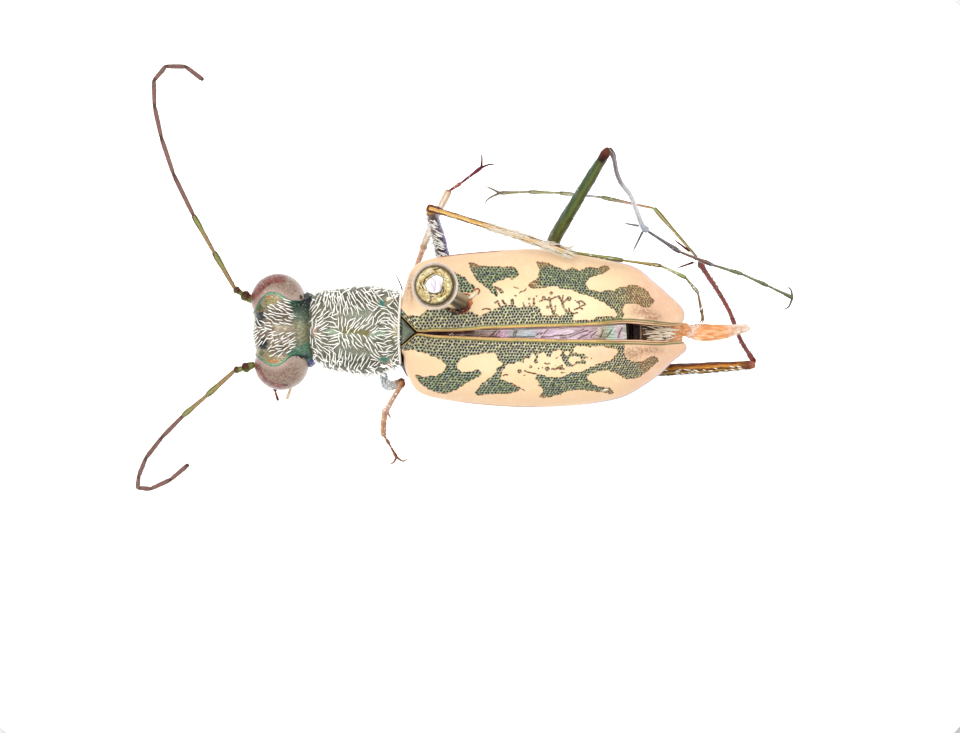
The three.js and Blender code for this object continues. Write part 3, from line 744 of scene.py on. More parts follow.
def banded_paint(name, stops, roughness=0.42, metallic=0.15, grain=30.0, speck=(60, 44, 36),
                 stripes=None, share=0.8, until=1.1, amount=0.4):
    """A limb's paint: colours along it, stripes across it, with streaks and fine grain."""
    p = Paint(name, roughness=roughness, metallic=metallic, Specular_IOR_Level=0.15)
    tone = p.ramp(p.value("along"), stops)
    if stripes:
        across = p.math("ADD", p.value("across"), p.wander(grain * 0.2, -0.06, 0.06))
        reach = p.between(p.value("along"), until - 0.02, until, share, 0.0)
        tone = p.mix(reach, tone, p.ramp(across, stripes))
    streak = p.between(p.noise(grain, detail=3), 0.42, 0.7, 0.0, amount)
    p.set(Base_Color=p.mix(streak, tone, speck))
    p.set(Roughness=p.wander(grain * 0.6, roughness - 0.1, roughness + 0.12))
    p.bump(p.noise(grain * 1.3, detail=2), 0.006)
    return p.material


def elytra_paint():
    """Peach shell with pitted, metallic, dark green and olive markings."""
    p = Paint("elytra", roughness=0.42, Coat_Weight=0.1, Coat_Roughness=0.35, Specular_IOR_Level=0.35)
    mark, pit = p.value("mark"), p.value("pit")
    peach = p.mix(p.value("edge"), (241, 214, 167), (244, 208, 167))
    peach = p.mix(p.value("cream"), peach, (241, 225, 180))
    peach = p.mix(p.value("tail"), peach, (243, 199, 164))
    peach = p.mix(p.between(p.noise(26.0, detail=2), 0.4, 0.7, 0.0, 0.2), peach, (226, 170, 124))
    peach = p.mix(p.between(p.noise(4.0, detail=3), 0.5, 0.75, 0.0, 0.3), peach, (254, 234, 206))
    # See-through brown at the tips, and painted shade beside the pin's collar
    veil_and_shade = p.times(p.value("veil_and_shade"), p.between(p.noise(14.0, detail=3), 0.35, 0.6, 0.35, 1.0))
    peach = p.mix(veil_and_shade, peach, (154, 114, 84))
    grain = p.noise(13.0, detail=3)
    green = p.ramp(grain, [(0.34, (42, 60, 46)), (0.46, (96, 120, 76)), (0.57, (140, 150, 94)),
                           (0.7, (204, 202, 136))])
    olive = p.ramp(grain, [(0.34, (78, 80, 46)), (0.47, (134, 128, 66)), (0.58, (170, 156, 84)),
                           (0.7, (214, 204, 130))])
    brown = p.ramp(grain, [(0.34, (122, 92, 58)), (0.5, (170, 142, 94)), (0.66, (208, 180, 126))])
    ground = p.mix(p.value("olive"), green, olive)
    ground = p.mix(p.between(p.noise(3.0), 0.48, 0.7, 0.0, 0.35), ground, (80, 122, 92))
    ground = p.mix(p.value("silver"), ground, (160, 150, 114))
    ground = p.mix(p.value("brown"), ground, brown)
    ground = p.mix(p.value("teal"), ground, (40, 128, 124))
    # Painted highlight: a pale lilac glint in each pit
    glint = p.times(p.value("glint"), p.between(p.value("brown"), 0.0, 1.0, 1.0, 0.3))
    ridge = p.times(p.value("ridge"), p.between(grain, 0.4, 0.6, 0.05, 0.5))
    ground = p.mix(ridge, ground, p.mix(p.value("brown"), (182, 186, 118), (202, 176, 124)))
    ground = p.mix(p.times(glint, 0.85), ground, (230, 222, 232))
    hole = p.ramp(p.noise(9.0), [(0.38, (10, 12, 66)), (0.5, (12, 12, 34)), (0.62, (6, 12, 14))])
    hole = p.mix(p.value("brown"), hole, (116, 88, 62))
    ground = p.mix(pit, ground, hole)
    ring = p.ramp(p.noise(14.0, detail=2),
                  [(0.38, (84, 44, 28)), (0.5, (136, 80, 52)), (0.62, (186, 126, 88))])
    inner = p.between(mark, 0.64, 0.88)
    body = p.mix(p.between(mark, 0.44, 0.53), peach, p.mix(inner, ring, ground))
    rim = p.ramp(p.value("suture"), [
        (0.0, (52, 26, 16)), (0.08, (150, 104, 76)), (0.2, (208, 172, 116)), (0.3, (176, 120, 66)),
        (0.46, (178, 148, 76)), (0.62, (158, 142, 74)), (0.8, (134, 128, 70)), (1.0, (112, 112, 72))])
    rear_rim = p.ramp(p.value("suture"), [
        (0.0, (50, 26, 18)), (0.12, (200, 140, 96)), (0.26, (244, 218, 178)), (0.36, (96, 62, 36)),
        (0.5, (176, 116, 66)), (0.64, (228, 204, 150)), (0.74, (70, 72, 44)), (0.86, (128, 132, 84)),
        (1.0, (60, 56, 40))])
    rim = p.mix(p.value("rear"), rim, rear_rim)
    streak = p.noise(7.0, detail=3, stretch=(0.25, 2.5, 1))
    rim = p.mix(p.between(streak, 0.48, 0.7, 0.0, 0.55), rim, (112, 96, 44))
    body = p.mix(p.value("rim"), body, rim)
    # Painted shade of the pin's hole and its shadow, near black
    body = p.mix(p.value("hole_shade"), body, (20, 14, 10))
    body = p.mix(p.value("lip"), body, (252, 226, 206))
    body = p.mix(p.value("seam"), body, (150, 84, 56))
    body = p.mix(p.value("lilac"), body, (196, 180, 200))
    p.set(Base_Color=body)
    p.set(Metallic=p.times(inner, p.between(pit, 0.0, 1.0, 0.3, 0.9)))
    p.set(Roughness=p.between(mark, 0.4, 0.6, 0.42, 0.36))
    p.bump(p.noise(22.0, detail=3), 0.005)
    return p.material


def wing_paint():
    """Pearly membrane: brown at its root, then lilac, blue-grey and green towards its end."""
    p = Paint("wing", roughness=0.3, Coat_Weight=0.3, Coat_Roughness=0.2)
    tone = p.ramp(p.value("along"), [
        (0.0, (60, 26, 14)), (0.06, (24, 6, 4)), (0.16, (70, 30, 18)), (0.2, (108, 60, 40)),
        (0.25, (52, 18, 12)), (0.277, (150, 124, 110)), (0.371, (160, 130, 120)), (0.407, (228, 182, 214)),
        (0.458, (184, 192, 186)), (0.537, (186, 200, 208)), (0.602, (216, 186, 208)),
        (0.711, (228, 208, 218)), (0.819, (208, 174, 190)), (0.892, (178, 172, 142)),
        (0.928, (170, 208, 182)), (0.965, (206, 176, 190)), (1.0, (172, 180, 160))])
    cloud = p.noise(4.0, detail=4, stretch=(1, 2.4, 1), distortion=0.5)
    tone = p.mix(p.between(cloud, 0.5, 0.7, 0.0, 0.5), tone, (150, 122, 120))
    # Painted highlights: the pale lines along the folds
    tone = p.mix(p.value("light"), tone, (246, 228, 226))
    p.set(Base_Color=p.mix(p.value("dark"), tone, (84, 40, 34)))
    p.bump(p.noise(12.0, stretch=(0.4, 2, 1)), 0.02)
    return p.material


def tergite_paint():
    p = Paint("tergite", roughness=0.42, metallic=0.1)
    tone = p.ramp(p.value("back"), [
        (0.0, (196, 170, 140)), (0.03, (130, 104, 76)), (0.05, (30, 16, 12)), (0.55, (44, 24, 18)),
        (0.68, (150, 92, 52)), (0.76, (226, 150, 92)), (0.88, (240, 172, 106)), (1.0, (236, 160, 100))])
    p.set(Base_Color=p.mix(p.between(p.noise(14.0, stretch=(0.3, 1, 1)), 0.4, 0.7, 0.0, 0.5), tone,
                           (110, 70, 46)))
    p.bump(p.noise(20.0, stretch=(0.4, 1.4, 1)), 0.014)
    return p.material


def fibre_paint():
    p = Paint("fibre", roughness=0.45)
    strand = p.noise(10.0, detail=4, stretch=(0.25, 1.5, 1.5), distortion=0.5)
    tone = p.ramp(strand, [(0.3, (186, 100, 48)), (0.44, (232, 150, 84)), (0.58, (250, 196, 146)),
                           (0.7, (255, 236, 212))])
    speckled = p.ramp(p.noise(22.0, detail=3),
                      [(0.36, (180, 130, 108)), (0.5, (232, 202, 182)), (0.64, (248, 232, 222))])
    tone = p.mix(p.value("speckled"), tone, speckled)
    clear = p.ramp(p.noise(9.0, detail=3),
                   [(0.36, (196, 150, 126)), (0.5, (224, 196, 174)), (0.64, (240, 224, 208))])
    p.set(Base_Color=p.mix(p.value("clear"), tone, clear))
    p.bump(strand, 0.03)
    return p.material


# Camera, light and floor. Their places are in metres.

LAMP_TARGET = (0, 0, 0.008)
FLOOR_REACH = 0.6
WORLD_STRENGTH = 0.72


def camera():
    data = bpy.data.cameras.new("camera")
    data.type = "PERSP"
    data.sensor_width = SENSOR
    data.lens = SENSOR * CAMERA_HEIGHT * PIXELS_PER_MM / PHOTO_WIDTH
    data.clip_start, data.clip_end = 0.01, 5.0
    eye = placed("camera", data)
    eye.location = (0, 0, (BEETLE[2] + CAMERA_HEIGHT) * MM)
    bpy.context.scene.camera = eye


def lamp(name, place, power, width):
    data = bpy.data.lights.new(name, "AREA")
    data.shape = "DISK"
    data.size = width
    data.energy = power
    light = placed(name, data)
    light.location = place
    light.rotation_euler = (Vector(LAMP_TARGET) - Vector(place)).to_track_quat("-Z", "Y").to_euler()
    return light


def light_only(light, piece):
    """Keeps a light to one piece, with no shadow of the others on it."""
    group = bpy.data.collections.new(f"{light.name}_receivers")
    group.objects.link(piece)
    light.light_linking.receiver_collection = group
    light.light_linking.blocker_collection = group


def floor():
    mesh = bpy.data.meshes.new("floor")
    corners = [(x * FLOOR_REACH, y * FLOOR_REACH, 0) for x, y in ((-1, -1), (1, -1), (1, 1), (-1, 1))]
    mesh.from_pydata(corners, [], [(0, 1, 2, 3)])
    p = Paint("floor", roughness=0.8)
    p.set(Base_Color=p.mix(p.noise(0.05), (236, 237, 238), (228, 229, 230)))
    mesh.materials.append(p.material)
    piece = placed("floor", mesh)


# Stand

def rounded_loop(inset):
    """Corner arcs of the block's outline, drawn in by inset."""
    r = BASE["corner"]
    x, y = BASE["length"] / 2 - r, BASE["width"] / 2 - r
    turns = np.linspace(0, math.pi / 2, 10)
    points = []
    for k, (cx, cy) in enumerate([(x, y), (-x, y), (-x, -y), (x, -y)]):
        a = turns + k * math.pi / 2
        points.append(np.stack([cx + (r - inset) * np.cos(a), cy + (r - inset) * np.sin(a)], 1))
    return np.vstack(points)


def resample(loop, count):
    ring = np.vstack([loop, loop[:1]])
    length = np.append(0, np.cumsum(np.linalg.norm(np.diff(ring, axis=0), axis=1)))
    even = np.linspace(0, length[-1], count, endpoint=False)
    return np.stack([np.interp(even, length, axis) for axis in ring.T], 1)


def foam_block():
    """The block, its edges rolled, with a small dimple where the pin goes in."""
    count = 240
    bevel, height = BASE["bevel"], BASE["height"]
    bends = [(bevel * (1 - math.sin(a)), bevel * (1 - math.cos(a))) for a in np.linspace(0, math.pi / 2, 6)]
    profile = bends + [(inset, height - z) for inset, z in reversed(bends)]
    outline = resample(rounded_loop(0), count)
    middle = outline.mean(0)
    loops = [raised(resample(rounded_loop(inset), count), z) for inset, z in profile]
    foot = (PIN_PATH[1] + BEETLE)[:2]
    hole = PIN_RADIUS + HOLE_GAP
    turn = np.arctan2(outline[:, 1] - middle[1], outline[:, 0] - middle[0])
    around = np.stack([np.cos(turn), np.sin(turn)], 1)
    edge = loops[-1][:, :2]
    for t in np.linspace(0, 1, 40)[1:] ** 0.7:
        ring = edge + (foot + around * hole - edge) * t
        away = np.linalg.norm(ring - foot, axis=1)
        dimple = -0.12 * bell(away - hole, 0.22)
        wave = 0.012 * ripple(raised(ring, 0), 1.7, 4)
        loops.append(raised(ring, height + dimple + wave))
    loops.append(raised(loops[-1][:, :2], height - HOLE_DEPTH))
    shape = closed(np.array(loops) - BEETLE)
    return add("foam_block", shape, foam_paint(), ["stand_base"])


def layers(outline, middle, levels):
    """Rings of a plate: each level has its share of the outline's reach and its height."""
    return np.array([raised(middle + (outline - middle) * share, z) for share, z in levels])


def turned(profile, sides, place, axis, unevenness=0.0, seed=0):
    """A turned form on an axis: profile rows are (radius, height), reach is the radius."""
    up = unit(np.asarray(axis, float))
    side = unit(np.cross(up, [0.0, 1.0, 0.3]))
    other = np.cross(up, side)
    turns = turns_round(sides)
    radius, height = np.array(profile, float).T
    flat = np.stack([np.cos(turns), np.sin(turns)], -1)
    uneven = ripple(flat[None] * 0.35 + np.zeros((len(radius), 1, 1)), 1.0, seed)
    reach = radius[:, None] * (1 + unevenness * uneven)
    ring = flat[:, :1] * side + flat[:, 1:] * other
    points = np.asarray(place) + reach[..., None] * ring + height[:, None, None] * up
    return closed(points, reach=reach)


# Outline of the pin's crown and cracks of its collar in photo pixels
CROWN = [(424.8, 285.1), (427.1, 280.5), (430.2, 278.2), (433.2, 275.8), (437.1, 274.7), (440.2, 276.2),
         (443.2, 277.8), (443.4, 281.2), (442.1, 285.1), (441.7, 290.5), (437.8, 292.8), (434, 293.4),
         (430.2, 292.8), (427.1, 290.5)]
CRACKS = [[(434, 270.6), (437, 270.4), (441, 268.8), (445, 267.6)],
          [(424, 286), (425.5, 280), (430, 276.5), (434.5, 274)],
          [(430, 294.5), (436, 295.4), (441, 293.5), (443.4, 288)], [(421, 284), (423, 288), (424.5, 291)],
          [(442, 297), (443.5, 293), (444.5, 289)], [(430, 303), (432, 300), (431, 297)]]


def insect_pin():
    """A leaning pin with a brass collar, a clear outer rim and a pale, broken crown."""
    axis = unit(PIN_PATH[0] - PIN_PATH[1])
    foot = PIN_PATH[1] - axis * PIN_SUNK
    shape = Limb([foot, PIN_PATH[0]], [(0, 0.05), (0.03, PIN_RADIUS), (1, PIN_RADIUS)], rows=120, sides=120,
                 relief=lambda s, a: 0.004 * np.sin(a * 9 + s * 6)).shape()
    x, y, z = (shape.points - PIN_PATH[0]).T
    turn = np.arctan2(y - axis[1] * z / axis[2], x - axis[0] * z / axis[2])
    rounds = np.stack([np.cos(turn) * 0.5, np.sin(turn) * 0.5, shape.points[:, 2] * 0.06], 1)
    shape.values["streak"] = np.clip(0.5 + 0.5 * ripple(rounds, 0.5, 13, layers=4), 0, 1)
    add("pin_shaft", shape, PAINTS["steel"], ["stand_pin"])
    top = PIN_PATH[0] - [0, 0.03, 0]
    bowl = np.array([(0.2, 0.0), (0.42, 0.0), (0.5, 0.02), (0.545, 0.07), (0.54, 0.13), (0.5, 0.165),
                     (0.45, 0.195), (0.4, 0.22), (0.35, 0.25), (0.3, 0.29), (0.27, 0.31), (0.2, 0.32),
                     (0.05, 0.32)])
    steps = np.linspace(0, len(bowl) - 1, 61)
    dense = np.column_stack([np.interp(steps, range(len(bowl)), column) for column in bowl.T])
    brass = turned(dense, 180, top, axis)
    pixels = pixels_of(brass.points)
    cracks = np.min([to_path(pixels, path) for path in CRACKS], axis=0)
    cracks = cracks + 0.5 * ripple(brass.points, 0.09, 17)
    brass.values["crack"] = bell(np.maximum(cracks, 0), 0.75)
    brass.points += (0.012 * ripple(brass.points, 0.12, 7) - 0.03 * brass.values["crack"])[:, None] * axis
    add("pin_collar", brass, PAINTS["brass"])
    lip = [(0.45, -0.02), (0.56, -0.05), (0.62, -0.03), (0.645, 0.0), (0.65, 0.02), (0.636, 0.035),
           (0.62, 0.015), (0.608, 0.01), (0.597, 0.03), (0.585, 0.02), (0.57, 0.0), (0.55, 0.0),
           (0.535, 0.02)]
    add("pin_rim", turned(lip, 160, top, axis, 0.008, 5), PAINTS["flange"])
    outline = resample(seen(CROWN, top[2])[:, :2], 90)
    facets = [(0.7, 0.22), (0.97, 0.24), (1.03, 0.29), (1.03, 0.33), (1.0, 0.35), (0.95, 0.362),
              (0.85, 0.37), (0.7, 0.374), (0.5, 0.378), (0.3, 0.38), (0.12, 0.38)]
    loops = layers(outline, outline.mean(0), [(share, top[2] + rise) for share, rise in facets])
    loops[5:, :, 2] += 0.02 * ripple(loops[5:] * [1.6, 0.6, 1], 0.25, 19)
    reach = np.array([1, 1, 1, 1, 1, 0.95, 0.85, 0.7, 0.5, 0.3, 0.12])[:, None] + np.zeros(90)
    add("pin_crown", closed(loops, reach=reach), PAINTS["crown"])


# Where the pin goes in: the torn edge, splinters and crumbs, in photo pixels
WOUND = [(470.5, 296.5), (470.3, 301), (468.5, 305.5), (465.5, 309), (460.5, 311.2), (455, 312.2),
         (450.5, 311.2)]
SPLINTERS = {
    "rust": [(0.022, [(466, 296.5), (469.5, 299), (472.5, 303.5)]),
             (0.02, [(474, 290.5), (477.3, 288.4), (479.6, 290.6), (478, 294)]),
             (0.018, [(464, 293.5), (468.5, 294.5), (471, 297.5)]),
             (0.02, [(461, 313.5), (466.5, 311.5), (470.5, 307.5)])],
    "white": [(0.045, [(469.2, 298), (473, 295.3), (476.6, 292.8)]),
              (0.03, [(603, 391), (605.5, 389.6), (608.3, 389.4)]),
              (0.022, [(486, 383.2), (486.8, 382.8), (487.2, 382.3)])],
}


def wound(right_case, left_case):
    trees = [tree_of(right_case), tree_of(left_case)]

    def resting(path, lift):
        rows = []
        for x, y, _ in seen(smooth_path(path, 12)):
            hits = [tree.ray_cast(Vector((x, y, ABOVE)), DOWN)[0] for tree in trees]
            rows.append([x, y, max(hit.z for hit in hits if hit) + lift])
        return rows

    def torn(s, a):
        return 0.014 * np.sin(a * 3 + s * 31) + 0.01 * np.sin(a * 5 - s * 57)
    edge = Limb(resting(WOUND, 0.02), [(0, 0.03), (0.2, 0.06), (0.8, 0.07), (1, 0.04)], 60, 16, relief=torn)
    add("pin_wound", edge.shape(), PAINTS["wound"])
    for tone, paths in SPLINTERS.items():
        bits = []
        for r, path in paths:
            bit = Limb(resting(path, r), scaled([(0, 0.7), (0.5, 1), (1, 0.6)], r), 16, 8,
                       relief=lambda s, a: 0.25 * r * np.sin(a * 3 + s * 17))
            bits.append(bit.shape())
        add(f"splinters_{tone}", joined(bits), PAINTS[f"splinter_{tone}"])


# Wing cases

CREST = [(-0.2, -0.16), (0.8, 0), (5.0, 0), (6.3, -0.2), (7.6, -0.85)]
RIM = [(-0.2, -0.85), (1.2, -0.98), (5.6, -1.02), (7.6, -1.15)]
SHELL = 0.14
PIT_SPACING = 0.097
PIT_GRID = (140, 60)
# Brown line under the side margins: its strength, and where it starts and ends in photo pixels
SEAM = {"right": (1.0, 436, 444, 498, 506), "left": (0.5, 455, 470, 530, 548)}

# Outlines in photo pixels: the suture and the side margin of each wing case
RIGHT_SUTURE = [(401.5, 316), (409, 323.7), (415, 330), (417.5, 331.7), (434, 331.7), (460, 331.4),
                (475, 330.4), (485, 329.4), (500, 328.9), (532, 327.7), (564, 326.8), (600, 325.2),
                (625, 323.4), (640, 324.4), (655, 325.7), (668, 326.5), (679.5, 325.2)]
RIGHT_MARGIN = [(401, 305), (402.5, 297.6), (405.9, 284.4), (409.4, 273), (414, 266.6), (420.8, 262),
                (435, 257.5), (458, 254), (485, 251.5), (523, 248.8), (555, 250), (585, 254.5), (615, 261),
                (637.2, 267.8), (653.8, 281.1), (666.5, 292), (676.1, 300.9), (681.8, 306.7), (684.8, 313),
                (684, 319.5), (681, 323.5)]
LEFT_SUTURE = [(401.5, 346), (409, 339.7), (415, 334.6), (418, 333.4), (434, 334.9), (460, 335.9),
               (480, 336.8), (500, 337.5), (532, 338), (557, 339.1), (580, 339.5), (600, 339.4),
               (625.5, 339.5), (640, 339.6), (657, 340.5), (670, 340), (682, 340.6)]
LEFT_MARGIN = [(402, 352.9), (404, 356.4), (404.7, 364.6), (406.7, 372.8), (410.9, 382.2), (416.7, 390.5),
               (423.2, 394.6), (439.6, 399), (468.4, 403.4), (505, 406.6), (537.4, 407.5), (587.8, 404.3),
               (620.6, 398.1), (634.6, 391.8), (647.4, 383.5), (658.2, 375.8), (672.9, 361.8),
               (681.8, 354.8), (686.3, 350.3), (686.9, 346.5), (684.4, 342.7)]

# Dark markings in photo pixels: outlines, thin strands with their width, and small spots
RIGHT_BAND = [
    (400.4, 301.4), (400.7, 306.3), (402.5, 310), (405.9, 314.9), (412, 315.6), (420.3, 316),
    (423.1, 313.1), (425.4, 310.6), (429.4, 310), (450, 308), (461, 310.9), (467.3, 309.1), (472.5, 312.6),
    (480, 316), (488.4, 311.6), (498.6, 307.8), (503, 306), (506, 305), (510, 305), (514.7, 305.5),
    (517, 307.3), (522, 306.7), (531, 306), (535, 305.5), (538.3, 307), (540, 308.5), (541, 311),
    (541.3, 314.4), (543.4, 316), (549.7, 316), (551.7, 315), (552.4, 312.5), (556.1, 314.3), (558, 316.3),
    (559.6, 316.9), (562, 315.3), (565, 314), (568, 311.5), (570.5, 311.5), (573, 313.3), (574, 317),
    (572.7, 319.4), (574.6, 320.7), (579, 320.6), (583, 319.8), (589, 320.7), (594.4, 319.4),
    (595.7, 317.5), (598.2, 315.6), (602.8, 316.2), (615.5, 316.9), (618.1, 316.2), (616.1, 312.4),
    (614.2, 309.2), (609.8, 307.3), (605.3, 302.8), (599.6, 300.9), (595.1, 298.4), (590, 295.8),
    (585.9, 295.4), (580.5, 294.5), (575, 291.3), (569, 289.6), (560, 288.2), (557.3, 286), (544.5, 287.4),
    (535.6, 288.7), (530.6, 288.2), (531.8, 283.6), (538, 277), (539.4, 269.5), (536.3, 260.6),
    (545.8, 261.9), (554.7, 265.7), (560, 267.7), (565.4, 270.4), (572.5, 266.8), (579.6, 270.4),
    (590, 266.5), (597.6, 267.8), (602.8, 265.5), (606.6, 264.9), (611, 268.1), (608.5, 270),
    (605.9, 271.9), (601.5, 274.1), (596.4, 275.4), (590, 277.3), (585.4, 282.9), (587.7, 287.3),
    (590, 290.7), (595.1, 290.1), (599.6, 291.7), (604.7, 290.7), (608.5, 289.8), (613, 290.7),
    (617.4, 287.5), (621.9, 286.9), (626.4, 287.5), (628.3, 284.7), (635.9, 284.3), (639.1, 285.6),
    (641, 287.5), (644.8, 287.2), (646.1, 290.1), (648.7, 292), (650.6, 295.8), (655.1, 300.3),
    (654.4, 302.8), (651.2, 305.4), (648.7, 307.6), (642.3, 306.7), (639.7, 304.7), (633.4, 304.1),
    (629.5, 303.2), (625.7, 304.1), (623.8, 306), (623.2, 309.2), (622.5, 312.4), (625.1, 315),
    (623.2, 316.2), (623.2, 319.4), (623.5, 336), (400, 336)]
RIGHT_TRIANGLE = [
    (468, 262), (473, 262.6), (481.5, 265.7), (488.3, 266.4), (505.9, 266.7), (514, 266.7), (518.1, 270.1),
    (519.1, 274.2), (515.4, 278.2), (511.3, 279.6), (508.6, 277.6), (502.5, 280.3), (493, 283),
    (493.4, 285.7), (498.4, 291.8), (497.1, 295.2), (497.8, 298.9), (490.3, 291.1), (484.2, 285.7),
    (476.1, 279.6), (472.1, 272.2)]
RIGHT_PATCH = [(452, 270.5), (456.4, 272.6), (460, 274.8), (465, 277.8), (468, 281), (472.3, 284.6),
               (476.6, 286.4), (475, 289), (473, 292.6), (469.8, 293.6), (466, 292.4), (461, 292.2),
               (457, 289), (453, 280)]
LEFT_BAND = [
    (400, 343), (402, 347), (403, 351), (410.6, 349.9), (422, 352.4), (431, 355.6), (438.7, 358.8),
    (446.3, 365.2), (444.4, 371.6), (436, 375.4), (423.4, 376.7), (413.8, 374.1), (418.3, 381.8),
    (425.9, 388.2), (436, 392.6), (446.3, 393.9), (455.3, 390.7), (462.9, 385.6), (473, 379.2),
    (484, 374.1), (478, 369.7), (469.3, 371.6), (463, 372.9), (457.8, 369), (457.2, 363.9), (461.6, 358.8),
    (471.8, 355), (482, 353.7), (496, 353), (496.7, 357.6), (500, 361.9), (503.8, 363.8), (498.7, 367.6),
    (495.5, 368.9), (497.4, 370.8), (491.7, 376.6), (482, 383.6), (478.3, 388), (473.8, 393.8),
    (478.3, 395.4), (489, 394.4), (509.5, 393.4), (515.3, 392.2), (518.5, 390.6), (519.7, 388.7),
    (526.8, 391.9), (524.2, 389), (520.4, 387.7), (517.2, 385.2), (509.6, 382), (504.5, 380.7),
    (500.6, 379.1), (500.6, 376), (502.5, 371.5), (505.7, 365.7), (509.6, 362.9), (513.7, 364.1),
    (517.2, 361.6), (521.7, 362.2), (523.9, 364.5), (523.6, 360.3), (524.6, 357.8), (526.8, 357.1),
    (531.9, 361.6), (530.6, 359), (530.6, 354.6), (533.2, 353.9), (535.1, 354.6), (535.7, 357.1),
    (533.8, 362.6), (535.7, 365.1), (537.9, 362.2), (537, 360.3), (538.3, 355.2), (540.8, 352.3),
    (544, 352), (546.6, 355.2), (546.2, 358.4), (550.4, 357.1), (551, 355.2), (550.4, 353.3),
    (557.4, 350.1), (560.6, 349.8), (562.8, 351.1), (562.2, 353.3), (557.4, 356.5), (553.9, 358.4),
    (556.4, 359.4), (557.4, 358.1), (561.2, 356.5), (562.8, 359), (562.2, 361), (567.6, 367.3),
    (573.3, 366.1), (579.1, 363.5), (585.5, 363.5), (587.1, 362.2), (586.1, 360.6), (583.5, 360),
    (577.8, 361.3), (572.7, 364.1), (568.2, 362.2), (567.9, 360), (570.8, 356.2), (577.2, 356.2),
    (581, 358.7), (588.6, 358.4), (588, 356.8), (584.2, 353.9), (577.8, 353.3), (573.3, 351.7),
    (573.3, 349.2), (575.3, 346.3), (579.7, 345.7), (588, 347.2), (600, 346.3), (605.9, 347.1),
    (612.3, 348.1), (616.8, 349.7), (617.4, 352.2), (613.6, 358), (609.1, 361.1), (598.9, 363.1),
    (594.5, 365.6), (587.4, 368.6), (582.3, 371.2), (576.5, 372.8), (570.2, 372.4), (565.1, 375.6),
    (560.6, 376.9), (547.8, 377.2), (541.5, 374.4), (536.4, 373.7), (535.7, 377.5), (533.8, 380.1),
    (537, 379.5), (539.5, 382), (539.5, 384.9), (536.4, 385.5), (540.2, 386.7), (543.5, 389),
    (543.4, 392.2), (538.6, 397.6), (544.6, 398.3), (554.2, 396), (560.6, 394.8), (563.8, 392.2),
    (576.5, 389.7), (595.7, 391.6), (605.9, 393), (611.7, 394.6), (613.6, 393), (613.6, 390.5),
    (609.1, 387.9), (598.3, 386.7), (593.8, 384.1), (589.3, 380.7), (587.1, 378.2), (587.7, 376.3),
    (591.2, 373.7), (602.8, 370.7), (607.2, 370.1), (614.2, 372.6), (621.9, 375.8), (623.2, 378.4),
    (626.4, 379), (635.3, 378.4), (640.4, 377.1), (647.4, 371.4), (652.5, 366.9), (659.2, 361.1),
    (658.6, 358.6), (655.1, 356), (649.3, 357.3), (644.2, 360.5), (634.6, 362.1), (628.3, 359.9),
    (625.7, 357.3), (623.8, 353.5), (624.8, 345.8), (625, 334), (400, 334)]

